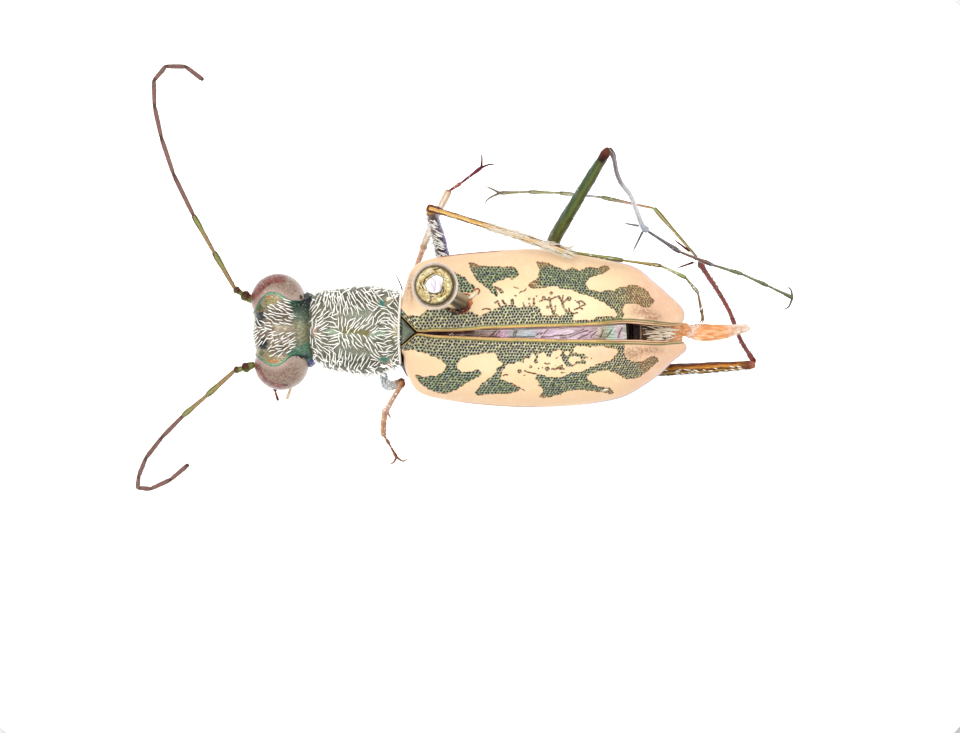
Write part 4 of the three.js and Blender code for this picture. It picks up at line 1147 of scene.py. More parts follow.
MARKINGS = {
    "right": {
        "brown": [(541, 262, 10, 4), (532, 284, 6, 5), (607, 267, 9, 4), (646, 294, 17, 13),
                  (476, 264, 6, 3)],
        # Painted shade: the dark hole where the pin goes in, and the shadow beside it
        "hole_shade": [(456, 310.5, 6, 2.6), (447.5, 309, 4, 1.8)],
        "rosy": [],
        "teal": [(402, 313, 4, 8)],
        "cream": [(600, 281, 24, 8), (578, 302, 34, 12), (505, 296, 16, 10)],
        # See-through brown near the tip; the tall ellipse at the shoulder is painted shade beside the pin's
        # collar
        "veil_and_shade": [(642, 311, 12, 7), (655, 317, 9, 4), (411, 288, 6, 17)],
        "outlines": [RIGHT_BAND, RIGHT_TRIANGLE, RIGHT_PATCH],
        "strands": [
            (2.0, [(502.5, 300.3), (503.5, 302.5), (506, 304.5)]), (3.6, [(512.3, 300.5), (512.6, 305)]),
            (1.5, [(523.2, 302.5), (524.3, 307)]), (1.5, [(529.3, 303.5), (530.3, 307)]),
            (2.2, [(533.8, 299), (534.2, 307)]),
            (2.4, [(554, 314), (552.4, 310.5), (551, 307), (550.3, 303), (549.3, 297.8)]),
            (1.7, [(540.3, 301.2), (543.4, 299.3), (549.3, 299.8), (556, 296.6)]),
            (1.6, [(555.5, 306), (555.4, 309), (554.5, 312)]), (1.3, [(556.5, 314), (559.2, 317)]),
            (2.4, [(558.6, 296.4), (562, 301), (563.4, 307), (566.5, 311.5), (570, 315)]),
            (1.3, [(563.2, 295.5), (562.6, 299.5)]), (1.7, [(564, 302.4), (566.6, 299.4)]),
            (1.5, [(568.8, 308.2), (569.6, 312)]), (1.5, [(570.5, 312), (573.5, 313.8), (577.5, 312.6)]),
            (1.6, [(574.3, 309.6), (580, 307.3), (582.3, 309)]),
            (1.6, [(580, 307), (579.3, 303.3), (577.3, 302), (581.5, 300.8), (585.8, 304.6), (581, 306)]),
            (1.2, [(514, 287), (518.4, 288.3)]),
            (1.2, [(519.8, 293), (520.6, 291.4), (524.5, 291), (526, 288.4)]),
            (2.0, [(500.3, 289), (502.7, 292.2)]), (2.2, [(495.1, 287), (498.4, 288.4), (501.2, 292.5)]),
            (1.4, [(482.5, 309.4), (486, 308.4), (490.3, 309.4)]),
            (1.8, [(495.1, 302.6), (497.8, 301.2), (499.8, 306)]), (5.0, [(531, 285), (536, 282)])],
        "spots": [(547.5, 307.2, 1.6), (543.8, 297.6, 2.0), (551.3, 293, 1.7), (536.7, 296, 0.8),
                  (529.4, 298.8, 1.3), (515.7, 295.6, 1.0), (569, 298.8, 2.4), (575.2, 300.3, 0.6),
                  (463, 300, 2.2)],
        "holes": [],
    },
    "left": {
        "brown": [(649, 364, 9, 9), (540, 398.5, 7, 3), (614, 391, 7, 3.5)],
        "hole_shade": [],
        "rosy": [(604, 354, 18, 9)],
        "teal": [(401, 348, 5, 7)],
        "cream": [(480, 363, 24, 9), (545, 364, 30, 10)],
        "veil_and_shade": [(633, 354, 10, 8), (650, 350, 14, 4)],
        "outlines": [LEFT_BAND],
        "strands": [
            (1.5, [(524.8, 371), (528.7, 372.4), (536.4, 373.9)]), (1.1, [(524.2, 375.6), (525.7, 375)]),
            (1.4, [(545, 363.2), (547.2, 364.1), (550, 363.5)]),
            (1.8, [(552.3, 368.9), (555.5, 369.2), (562.2, 365.4)]),
            (1.4, [(559.3, 369.2), (563.8, 369.2)]), (1.1, [(560.9, 372.8), (564.7, 372.4)]),
            (1.3, [(503.2, 375.6), (505.4, 374.4), (508, 375)])],
        "spots": [(530.6, 366.7, 1.5), (519.5, 371.5, 2.1), (547.2, 368.9, 2.3), (538.6, 368.6, 0.8),
                  (542.4, 367.7, 0.6), (560.9, 367.3, 1.6), (555.2, 365.4, 0.5), (591.5, 358.4, 0.6)],
        "holes": [(567.3, 353, 2.4), (572.6, 352.7, 1.2), (564.8, 366.2, 2.2), (513.7, 386.2, 1.1)],
    },
}


def marked(pixels, markings):
    """How far inside the broad dark markings, and inside the thin ones, photo points lie."""
    broad = np.max([inside_by(pixels, outline) for outline in markings["outlines"]], axis=0)
    for x, y, radius in markings["holes"]:
        broad = np.minimum(broad, np.hypot(pixels[:, 0] - x, pixels[:, 1] - y) - radius)
    thin = np.full(len(pixels), -9.0)
    for width, path in markings["strands"]:
        thin = np.maximum(thin, width / 2 - to_path(pixels, path))
    for x, y, radius in markings["spots"]:
        thin = np.maximum(thin, radius - np.hypot(pixels[:, 0] - x, pixels[:, 1] - y))
    return broad, thin


def nearest_pits(s, w, seed):
    """Distance to the nearest pit, its number, and the nearby pits' numbers and weights."""
    rng = np.random.default_rng(seed)
    jitter = rng.uniform(-0.17, 0.17, (*PIT_GRID, 2)) * PIT_SPACING
    depth = rng.uniform(0.55, 1.1, PIT_GRID)
    row_height = PIT_SPACING * 0.866
    row = np.round(w / row_height).astype(int)
    best = np.full(len(s), 9.0)
    pit_s, pit_w, pit = np.zeros(len(s)), np.zeros(len(s)), np.zeros(len(s), int)
    around = []
    for dj in (-1, 0, 1):
        j = np.clip(row + dj, -3, 55)
        shift = 0.5 * (j % 2)
        column = np.round(s / PIT_SPACING - shift).astype(int)
        for di in (-1, 0, 1):
            i = np.clip(column + di, -8, 128)
            offset = jitter[i + 8, j + 3]
            cs = (i + shift) * PIT_SPACING + offset[:, 0]
            cw = j * row_height + offset[:, 1]
            away = np.hypot(s - cs, w - cw)
            number = (i + 8) * PIT_GRID[1] + j + 3
            around.append((number, bell(away, 0.42 * PIT_SPACING)))
            closer = away < best
            best = np.where(closer, away, best)
            pit = np.where(closer, number, pit)
            pit_s, pit_w = np.where(closer, cs, pit_s), np.where(closer, cw, pit_w)
    return best, pit, around, depth.reshape(-1)[pit], s - pit_s, w - pit_w


def case_height(x, v):
    """Height of a wing case's skin at x, v of the way from its suture to its margin."""
    rim = along(RIM, x)
    return rim + (along(CREST, x) - rim) * (1 - v[None] ** 2.4) ** 0.7


def wing_case(name, suture, margin, seed):
    rows, top_cols = 620, 230
    inner = seen(smooth_path(suture, rows), -0.1)[:, :2]
    outer = seen(smooth_path(margin, rows), -0.9)[:, :2]
    # Columns are spread evenly along the arc of a middle section
    fine = np.linspace(0, 1, 2000)
    arc = np.append(0, np.cumsum(np.hypot(np.diff(fine) * 2.1, np.diff((1 - fine ** 2.4) ** 0.7))))
    v = np.interp(np.linspace(0, arc[-1], top_cols), arc, fine) * 0.9995
    plan = inner[:, None] + (outer - inner)[:, None] * v[None, :, None]
    x = plan[..., 0].ravel()
    top = raised(plan, case_height(plan[..., 0], v))
    paces = np.linalg.norm(np.diff(top, axis=1), axis=2)
    across = np.concatenate([np.zeros((rows, 1)), np.cumsum(paces, 1)], 1)
    normal = unit(np.cross(np.gradient(top, axis=0), np.gradient(top, axis=1)))
    normal *= np.sign(normal[..., 2:].mean())
    flat = top.reshape(-1, 3)
    pixels = pixels_of(flat)
    marks = MARKINGS[name]
    broad, thin = marked(pixels, marks)
    # Pits are closer to each other towards the tail
    shrink = 1 + 0.03 * x
    away, pit, around, depth, ds, dw = nearest_pits(x * shrink, across.ravel() * shrink, seed)
    pits = PIT_GRID[0] * PIT_GRID[1]
    cell_count = np.maximum(np.bincount(pit, minlength=pits), 1)
    cell_dark = step(-0.5, 0.5, np.bincount(pit, broad, minlength=pits) / cell_count)
    scallop = sum(w * cell_dark[n] for n, w in around) / sum(w for _, w in around)
    crumbs = 0.8 * ripple(flat, 0.11, seed + 5) + 0.7 * ripple(flat, 0.055, seed + 6)
    broad = broad + 2.0 * (scallop - 0.5) + crumbs
    thin = np.clip(0.53 + (thin * 1.4 + 0.6 * crumbs) / 3.0, 0, 0.8)
    mark = np.maximum(np.clip(0.5 + broad / 3.0, 0, 1), thin)
    to_suture = across.ravel()
    to_margin = (across[:, -1:] - across).ravel()
    rim_width = along([(-0.3, 0.05), (0.6, 0.1), (3.0, 0.12), (4.6, 0.1), (5.6, 0.15), (7.6, 0.19)], x)
    rim = 1 - step(0.85, 1.1, to_suture / rim_width)
    hollow = np.clip(2.4 * bell(away, 0.0235) * depth, 0, 1) * (1 - rim)
    # Glint: a painted highlight on the wall of each pit that faces the light
    sunward = 1 if name == "left" else -1
    glint = np.exp(-(((ds - 0.03) / 0.02) ** 2 + ((dw * sunward - 0.018) / 0.03) ** 2))
    reach = (np.linalg.norm(outer - inner, axis=1)[:, None] * (1 - v)).ravel()
    margin_line = 1 - step(0.018, 0.045, reach)
    pixels_x = pixels[:, 0]
    strength, *ends = SEAM[name]
    seam = strength * step(*ends[:2], pixels_x) * (1 - step(*ends[2:], pixels_x))
    values = {
        "mark": mark,
        "pit": hollow,
        "glint": np.clip(1.15 * glint * depth * (1 - rim), 0, 1),
        "olive": np.clip(0.7 * (1 - step(0.1, 0.55, to_suture)) + step(4.2, 5.8, x), 0, 1),
        "edge": np.clip(1 - step(0.3, 1.3, to_margin) + 0.6 * (1 - step(0.2, 1.2, x)), 0, 1),
        "tail": np.clip(step(5.4, 6.6, x) + blots(pixels, marks["rosy"]), 0, 1),
        "rim": rim,
        "rear": step(5.0, 5.7, x),
        "suture": np.clip(to_suture / rim_width, 0, 1),
        "lip": 0.6 * margin_line,
        "ridge": step(0.034, 0.05, away) * (1 - rim),
        "hole_shade": blots(pixels, marks["hole_shade"]),
        "seam": margin_line * seam,
        "lilac": 0.8 * margin_line * step(4.4, 5.2, x),
        "veil_and_shade": 0.85 * blots(pixels, marks["veil_and_shade"]),
        "brown": np.clip(1.8 * blots(pixels, marks["brown"]), 0, 1),
        "silver": 0.6 * (1 - step(0.3, 1.0, to_suture)) * (1 - step(3.2, 5.0, x)),
        "teal": blots(pixels, marks["teal"]),
        "cream": 0.9 * blots(pixels, marks["cream"]),
    }
    relief = -hollow * (0.001 + 0.02 * step(0.5, 0.8, mark)) + 0.0015 * ripple(flat, 0.3, seed)
    ridges = bell(to_suture - rim_width * 0.3, 0.03) + bell(to_suture - rim_width * 0.75, 0.03)
    relief += 0.012 * ridges + 0.01 * bell(to_margin - 0.04, 0.03)
    top = top + normal * relief.reshape(rows, top_cols, 1)
    under_v = np.concatenate([[0.998, 0.985, 0.965], np.linspace(0.93, 0.03, 18)])
    under_plan = inner[:, None] + (outer - inner)[:, None] * under_v[None, :, None]
    under = raised(under_plan, case_height(under_plan[..., 0], under_v) - SHELL)
    wall_z = np.stack([top[:, 0, 2] - SHELL * k for k in (0.8, 0.35)], 1)
    wall = raised(inner[:, None] + np.zeros((1, 2, 1)), wall_z)
    shape = closed(np.concatenate([top, under, wall], 1))
    extra = under.shape[1] + wall.shape[1]
    plain = {"mark": 0.3, "edge": 1.0, "lip": 0.3}
    for key, value in values.items():
        hidden = np.full((rows, extra), plain.get(key, 0.0))
        full = np.concatenate([value.reshape(rows, top_cols), hidden], 1)
        if key in ("rim", "suture", "rear"):
            full[:, -2:] = full[:, :1]
        shape.values[key] = np.append(full.ravel(), [full[0].mean(), full[-1].mean()])
    add(f"wing_case_{name}", shape, PAINTS["elytra"], [f"elytron_{name}"])
    return shape


# Hind wings, folded over the abdomen. Their folds are lines in photo pixels.

FOLDS = {
    "dark": [
        [(477.5, 335.8), (480.8, 332.3)], [(491.5, 335.5), (496.5, 330.8)],
        [(496.5, 334.8), (499.3, 331.3)], [(513.3, 336.6), (514.8, 330.3)], [(514.6, 336.6), (517, 330.3)],
        [(536.5, 334.8), (541.5, 332.8)], [(541, 334.5), (543, 332.5)], [(544, 333.8), (548.3, 329.2)],
        [(481, 336.9), (535, 336.7)], [(541.5, 337.2), (553, 336.3), (562, 335.2)],
        [(555, 335.8), (566, 335.5), (575, 332.2), (584, 329.6)],
        [(560.5, 337.8), (570.5, 337), (580, 333), (588.5, 330.3)],
        [(578, 338.2), (587, 334.6), (593, 330), (597, 328.5)], [(591, 337.5), (597, 331)],
        [(600.3, 337.8), (603.5, 330)], [(607, 337), (612, 330)], [(618, 337.5), (622, 328)],
        [(417, 332.6), (426, 333.4), (445, 333.6)], [(455, 333), (474, 332.6)]],
    # Painted highlights along the folds
    "light": [
        [(478.3, 334.6), (480, 332)], [(494.8, 334.2), (498.3, 331)], [(504, 336), (504, 330.8)],
        [(536.5, 337.2), (539, 334.8), (546.5, 329.5)], [(541, 336.5), (548, 329.6)],
        [(475, 330.6), (530, 330.2), (560, 328.8), (590, 327.6), (623.7, 325.2)],
        [(561, 336.8), (572, 333), (589, 329.2)], [(586, 336.5), (600, 328)], [(592, 337.5), (601, 329.5)],
        [(610.5, 337), (615, 328)], [(449.5, 334.8), (451.6, 333.4), (453.4, 334.6)]],
}
WING_SPAN = (417, 626.5)


def hind_wing(name, near, far, z, seed):
    """A folded membrane: dark lines along its creases, and pale lines of painted highlight along its folds.
    """
    rows, cols = 420, 110
    inner, outer = smooth_path(near, rows), smooth_path(far, rows)
    v = np.linspace(0, 1, cols)
    plan = inner[:, None] + (outer - inner)[:, None] * v[None, :, None]
    x, y = plan[..., 0], plan[..., 1]
    pixels = pixels_of(plan).reshape(-1, 2)
    pixels = pixels + 0.5 * np.stack([ripple(pixels, 9.0, seed + 1), ripple(pixels, 9.0, seed + 2)], 1)
    creases = {}
    for tone, width in (("dark", 0.55), ("light", 0.6)):
        reach = np.min([to_path(pixels, path) for path in FOLDS[tone]], axis=0)
        creases[tone] = bell(reach, width).reshape(x.shape)
    crumple = ripple(raised(plan * [0.7, 1.6], 0), 0.5, seed)
    height = z - 0.5 * step(0.25, 1.2, np.abs(y)) - 0.2 * (1 - step(0.3, 1.5, x))
    height = height + 0.04 * creases["light"] - 0.04 * creases["dark"]
    height = height + 0.03 * crumple * (1 + step(4.6, 5.4, x))
    top = raised(plan, height)
    back = np.linspace(cols - 1, 0, 6).astype(int)
    under = top[:, back] - [0, 0, 0.05]
    low, high = WING_SPAN
    share = np.clip((pixels_of(plan)[..., 0] - low) / (high - low), 0, 1)
    values = {tone: np.concatenate([crease, crease[:, back] * 0], 1) for tone, crease in creases.items()}
    values["along"] = np.concatenate([share, share[:, back]], 1)
    shape = closed(np.concatenate([top, under], 1), **values)
    add(f"hind_wing_{name}", shape, PAINTS["wing"], [f"hindwing_{name}"])


# Trunk

# Hair of the pronotum's right half: x and distance from the midline in photo pixels,
# then the direction rearwards and outwards
MIDLINE = 333.2
PRONOTUM_FLOW = [
    (313.7, 31.8, -0.5, -0.85), (312.7, 26.8, -0.63, -0.78), (313.1, 16.3, -0.67, -0.74),
    (311.3, 8.6, 0, -1), (311.3, 1, 0, -1), (320.6, 30, -0.45, -0.89), (320.3, 23.2, -0.7, -0.7),
    (325.5, 17, -0.84, -0.55), (326, 13.5, -0.97, -0.24), (320.6, 6.8, -0.75, -0.66), (330.4, 4.6, -1, 0),
    (333.2, 9.2, -0.97, 0.27), (325.5, 0.5, -1, 0), (324.3, 32.6, -0.2, -0.98), (325.6, 26, 0.05, -1),
    (331, 26, 0.15, -0.99), (335.8, 37, 0.25, -0.97), (339.9, 30.6, 0.22, -0.97), (347, 23.2, 0.1, -1),
    (349.7, 24.6, 0.34, -0.94), (354.2, 35.2, 0.45, -0.89), (364, 24.6, 0.5, -0.87),
    (365.4, 28.9, 0.6, -0.8), (368.9, 37.6, 0.68, -0.73), (377.5, 37.5, 0.7, -0.7), (382.5, 40.4, 0.1, -1),
    (395.4, 35.9, 0.4, -0.92), (389.2, 30.6, 0.78, 0.62), (387, 25.1, 0.92, -0.38),
    (393.7, 24, 0.47, -0.88), (378.5, 20.1, 0.67, 0.74), (379.2, 15.8, 0.6, 0.8), (386.4, 18, 1, 0),
    (393.5, 14.9, 0.66, -0.75), (384, 10.5, 1, 0.1), (391, 7.3, 0.8, -0.6), (384, 5.6, 1, 0),
    (375.8, 5.3, 0.8, 0.6), (369.6, 5.6, 0.8, 0.6), (362.8, 6.5, 0.6, 0.8), (368.9, 13.4, 0.64, 0.77),
    (372.8, 12.8, 0.15, 0.99), (354, 8.5, 0.55, 0.83), (349, 12.8, 0.8, 0.58), (344.9, 8.7, 0.15, 0.99),
    (338.4, 9.2, 0.05, 1),
]
PRONOTUM_OUTLINE = [(309.5, 333), (310, 312), (313, 295), (331, 288.5), (370, 285.5), (383, 287.5),
                    (396, 293), (398, 310), (398.5, 355), (394, 364.5), (380, 372.5), (364, 374.5),
                    (331, 370.5), (319, 363), (311, 347)]
PRONOTUM_BARE = [
    [(334, 315), (345, 312.5), (360, 310), (372, 308), (377, 311), (374, 316), (362, 319), (350, 320.5),
     (336, 320)],
    [(338, 330), (372, 330.5), (372, 336.5), (338, 336)],
    [(334, 351.5), (345, 354), (360, 356), (372, 358), (377, 354.5), (374, 350), (362, 347), (350, 345.5),
     (336, 346)],
    [(376, 300), (387, 295), (391, 301), (380, 308), (375, 305)],
    [(376, 356), (392, 356), (394, 365), (378, 363)],
    [(329, 328), (337, 329), (337, 336), (329, 336)],
]


PRONOTUM_TINTS = {
    "moss": ((112, 106, 58), [(355, 331.5, 17, 3.2), (347, 327, 4, 3), (365, 334, 3, 2)]),
    "mint": ((150, 172, 144), [(331, 331.5, 7, 2.6), (378, 333.5, 8, 4)]),
    "sand": ((178, 160, 122), [(389, 299, 4, 3), (395, 328, 2.6, 12)]),
    "copper": ((190, 140, 118), [(315, 332, 1.8, 7), (388.5, 365.5, 4, 2)]),
    "teal": ((50, 130, 112), [(382, 303, 2.2, 5), (384, 359.5, 4, 2.2)]),
}
PRONOTUM_MIDDLE = 0.08
BARREL_POWER = 2.4
PRONOTUM = {
    "half": [(-2.95, 0.84), (-2.878, 0.96), (-2.6, 1.09), (-2.34, 1.14), (-1.256, 1.225), (-0.894, 1.18),
             (-0.53, 1.06), (-0.44, 1.04)],
    "left_half": [(-2.95, 0.6), (-2.87, 0.74), (-2.67, 0.93), (-2.34, 1.107), (-1.42, 1.21), (-0.96, 1.2),
                  (-0.6, 1.02), (-0.44, 0.95)],
    "top": [(-2.95, -0.62), (-2.86, -0.42), (-2.6, -0.31), (-2.36, -0.36), (-1.7, -0.19), (-1.2, -0.2),
            (-0.9, -0.32), (-0.72, -0.28), (-0.46, -0.32)],
    "bottom": [(-2.95, -2.2), (-2.36, -2.5), (-1.2, -2.75), (-0.46, -2.7)],
}


def barrel_skin(x, turn, table, middle):
    """Places on a barrel that runs along X; its section is a superellipse."""
    half, high, low = (along(table[k], x) for k in ("half", "top", "bottom"))
    if "left_half" in table:
        half = np.where(np.cos(turn) < 0, along(table["left_half"], x), half)

    def swell(value):
        return np.sign(value) * np.abs(value) ** (2 / BARREL_POWER)
    y = middle + half * swell(np.cos(turn))
    z = (high + low) / 2 + (high - low) / 2 * swell(np.sin(turn))
    return np.stack([x, y, z], -1)


def barrel(table, rows, sides, relief, middle=0.0):
    low, high = table["half"][0][0], table["half"][-1][0]
    x, turn = grid(np.linspace(low, high, rows), turns_round(sides) + 0.001)
    rings = barrel_skin(x, turn, table, middle)
    normal = unit(np.cross(np.gradient(rings, axis=1), np.gradient(rings, axis=0)))
    centre = rings.mean(1, keepdims=True)
    normal *= np.sign(((rings - centre) * normal).sum(-1, keepdims=True))
    return closed(rings + normal * relief(rings)[..., None])


def pronotum():
    def relief(p):
        x, y, z = p[..., 0], p[..., 1] - PRONOTUM_MIDDLE, p[..., 2]
        on_top = step(-1.2, -0.7, z)
        midline = -0.03 * bell(y, 0.035) * on_top * step(-2.3, -2.1, x) * (1 - step(-1.1, -0.95, x))
        rear = -0.03 * bell(x + 0.86 + 0.05 * np.cos(y * 4), 0.1)
        front = -0.03 * bell(x + 2.36, 0.1)
        rugae = 0.009 * ripple(p * [5.0, 1.3, 1.3], 0.5, 21) + 0.006 * ripple(p, 0.12, 22)
        return midline + rear + front + rugae
    shape = barrel(PRONOTUM, 260, 300, relief, PRONOTUM_MIDDLE)
    patches(shape, PRONOTUM_TINTS)
    pixels = pixels_of(shape.points)
    bare = np.max([inside_by(pixels, gap) for gap in PRONOTUM_BARE], axis=0)
    # Where the hairs lie, and the flanks: the paint darkens them as painted shade between the hairs
    shape.values["coat"] = 1 - step(-2.0, 1.5, bare)
    shape.values["flank"] = step(0.5, 1.0, np.abs(shape.points[:, 1] - PRONOTUM_MIDDLE))
    add("pronotum_skin", shape, PAINTS["pronotum"], ["pronotum"])
    # The pale rolled rear edge
    turns = np.linspace(0.12, math.pi - 0.12, 90)
    edge = barrel_skin(np.full(90, -0.44), turns, PRONOTUM, PRONOTUM_MIDDLE)
    edge[:, 0] += 0.05 * edge[:, 1] ** 2 - 0.02
    roll = Limb(edge, [(0, 0.02), (0.1, 0.04), (0.9, 0.04), (1, 0.02)], rows=120, sides=12)
    add("pronotum_edge", roll.shape(), PAINTS["pale_edge"])
    return shape


# Corners of the scutellum in photo pixels
SCUTELLUM_CORNERS = [(401.5, 318), (401.5, 344.5), (414.8, 332.6)]


def scutellum():
    corners = seen(SCUTELLUM_CORNERS, -0.1)[:, :2]
    outline = np.vstack([np.linspace(a, b, 30, endpoint=False) for a,
                         b in zip(corners, np.roll(corners, -1, 0))])
    levels = [(0.7, -0.5), (0.98, -0.45), (1.0, -0.18), (0.99, -0.12), (0.95, -0.09), (0.8, -0.075),
              (0.5, -0.06), (0.15, -0.055)]
    loops = layers(outline, corners.mean(0), levels)
    loops[3:, :, 2] += 0.006 * ripple(loops[3:], 0.1, 9)
    add("scutellum_plate", closed(loops), PAINTS["scutellum"], ["scutellum"])


THORAX = {
    "half": [(-0.45, 0.9), (-0.2, 1.22), (0.6, 1.6), (2.2, 1.7), (3.7, 1.7)],
    "top": [(-0.45, -0.95), (0.9, -0.87), (1.8, -1.55), (3.7, -1.65)],
    "bottom": [(-0.45, -2.5), (0.8, -2.95), (2.6, -3.05), (3.7, -2.95)],
}
ABDOMEN = {
    "half": [(3.62, 1.66), (5.2, 1.62), (6.4, 1.16), (7.0, 0.62), (7.25, 0.4)],
    "top": [(3.62, -1.65), (6.1, -1.6), (6.7, -1.42), (7.25, -1.62)],
    "bottom": [(3.62, -2.95), (5.4, -2.85), (6.5, -2.6), (7.25, -2.2)],
}


def trunk():
    def plates(p):
        x, y, z = p[..., 0], np.abs(p[..., 1]), p[..., 2]
        groove = -0.05 * bell(x - 1.9 - 0.25 * y, 0.04) - 0.05 * bell(x - 0.35 + 0.2 * y, 0.04)
        line = -0.04 * bell(y, 0.03) * (1 - step(-2.6, -2.3, z))
        return groove + line + 0.006 * ripple(p, 0.14, 31)
    thorax = barrel(THORAX, 220, 200, plates)

    def sternites(p):
        x = p[..., 0]
        ring = (x - 3.62) / 0.6
        share = ring - np.floor(ring)
        lip = -0.06 * step(0.9, 1.0, share) - 0.06 * (1 - step(0, 0.12, share))
        return lip + 0.005 * ripple(p, 0.12, 33)
    abdomen = barrel(ABDOMEN, 240, 160, sternites)
    for part in (thorax, abdomen):
        part.values["back"] = step(-2.0, -1.7, part.points[:, 2])
    add("thorax_skin", thorax, PAINTS["underside"], ["thorax"])
    add("abdomen_skin", abdomen, PAINTS["underside"], ["abdomen"])
    return thorax, abdomen


def last_tergite():
    """The last rings of the back, seen between the wing cases' tips."""
    rows, cols = 120, 60
    u, v = grid(np.linspace(0, 1, rows), np.linspace(-1, 1, cols))
    x = 6.26 + 1.2 * u
    half = along([(6.26, 0.3), (6.5, 0.33), (7.0, 0.3), (7.46, 0.24)], x)
    y = 0.02 + v * half
    z = along([(6.26, -1.05), (6.32, -0.98), (6.9, -1.05), (7.2, -1.25), (7.46, -1.55)], x) - 0.16 * v ** 2
    flat = np.stack([x, y, z], -1)
    z = z + 0.018 * ripple(flat * [0.4, 2.0, 1.0], 0.25, 41) + 0.03 * bell(u - 0.02, 0.02)
    top = np.stack([x, y, z], -1)
    under = top[:, ::-1] - [0, 0, 0.3]
    back = np.concatenate([u, u[:, ::-1]], 1)
    add("last_tergite", closed(np.concatenate([top, under], 1), back=back), PAINTS["tergite"])
    rng = np.random.default_rng(42)
    count = 64
    share, side = rng.uniform(0.04, 0.6, count), rng.uniform(-0.95, 0.95, count)
    roots = top[(share * (rows - 1)).astype(int), ((side + 1) / 2 * (cols - 1)).astype(int)]
    inward = (0.02 - roots[:, 1]) / (7.5 - roots[:, 0]) + rng.normal(0, 0.1, count)
    ways = np.stack([np.ones(count), inward, np.full(count, 0.12)], 1)
    outs = np.tile([0.0, 0.0, 1.0], (count, 1))
    length = rng.uniform(0.25, 0.5, count)
    shape = hairs(roots, ways, outs, length, 0.0145, unwrap(roots, 6.2, 7.5, (0, -2.2)), 0.3, rings=5)
    add("tergite_hairs", shape, PAINTS["cream_hair"])


def aedeagus():
    """A rounded base, then a fibrous blade with a speckled root and a clear, blunt end."""
    path = [[7.2, 0.12, -1.72], [7.42, 0.12, -1.82], [7.6, 0.1, -1.92]]
    knob = Limb(path, [(0, 0.16), (0.4, 0.2), (0.8, 0.19), (1, 0.15)], rows=40, sides=40, deep=0.7,
                relief=lambda s, a: 0.012 * np.sin(a * 5 + s * 7) + 0.008 * np.sin(a * 11 - s * 21))
    path = [[7.5, 0.07, -1.98], [7.72, 0.04, -1.97], [7.98, 0.02, -1.95], [8.4, 0.03, -1.93],
            [8.8, 0.07, -1.9], [9.1, 0.12, -1.88], [9.26, 0.15, -1.86]]
    girth = [(0, 0.12), (0.1, 0.19), (0.22, 0.235), (0.4, 0.232), (0.6, 0.2), (0.8, 0.15), (0.93, 0.12),
             (1, 0.1)]

    def grooves(s, a):
        return 0.014 * np.sin(a * 5 + s * 9) * np.sin(s * 3.1) + 0.01 * np.sin(a * 11 - s * 26)
    blade = Limb(path, girth, rows=140, sides=48, deep=0.6, cap=0.9, relief=grooves)
    shapes = []
    for limb, root, end in ((knob, 0.0, 0.0), (blade, 1.0, 1.0)):
        shape = limb.shape()
        t = shape.values["along"]
        shape.values["speckled"] = root * (1 - step(0.12, 0.26, t - 0.1 * (shape.values["across"] - 0.5)))
        shape.values["clear"] = end * step(0.62, 0.9, t + 0.12 * np.abs(shape.values["across"] - 0.5))
        shapes.append(shape)
    add("aedeagus_skin", joined(shapes), PAINTS["fibre"], ["aedeagus"])


# Head

EYES = {
    "right": {"side": 1, "at": (-3.83, 0.93, -1.3), "size": (0.765, 0.74, 0.74), "band": (0.3, 0.78)},
    "left": {"side": -1, "at": (-3.735, -0.865, -1.3), "size": (0.76, 0.725, 0.74), "band": (0.12, 0.66)},
}
# Inner border of the eyes in photo pixels
EYE_BORDER = {
    "right": [(246, 318), (254.1, 310.8), (256.2, 306), (260.2, 299.4), (264.3, 295.3), (268.4, 292.7),
              (273.3, 292), (278.2, 293.3), (283.1, 296.1), (288.8, 299.4), (294.1, 300.6), (300.6, 300.2),
              (306, 297), (312, 290)],
    "left": [(248, 351), (256.8, 356.6), (260.2, 359.4), (264.3, 362.7), (268.4, 364.7), (272.5, 366.2),
             (276.6, 366), (280.7, 364.3), (284.7, 361.5), (288.8, 358.2), (292.9, 356.2), (297, 355.8),
             (301.1, 356.6), (305.1, 359.4), (308, 363.5), (310, 368), (314, 376)],
}
HOOD = 0.035
HEAD_TINTS = {
    "khaki": ((176, 160, 106), [(271, 300, 8, 4), (269, 357, 6, 3)]),
    "olive_patch": ((112, 116, 56), [(258, 307, 4, 5), (261, 353, 3, 3)]),
    "slate": ((34, 42, 50), [(260, 316, 5, 5), (257, 322, 2.5, 5), (262, 344, 5.5, 6)]),
    "gold": ((196, 150, 96), [(267, 296.6, 4, 1.4), (270, 361, 5, 1.8), (277, 361.8, 4, 1.3)]),
    "leaf": ((44, 96, 70), [(290, 302.5, 4, 1.8), (296, 306, 4, 3)]),
    "sea": ((92, 142, 118), [(291, 353, 7, 2.6), (300, 351, 6, 3.6), (306, 347, 4, 5)]),
    "navy": ((18, 34, 54), [(308, 299, 6, 3.6), (304, 357.5, 6, 2.2)]),
    "indigo": ((84, 82, 160), [(311.5, 364, 4.5, 5)]),
}
# The bright line round the eyes: its colours run between two columns of the photo, and it fades at its end
RIM_COLUMNS = (246, 312)
RIM_END = {"right": 296, "left": 301}

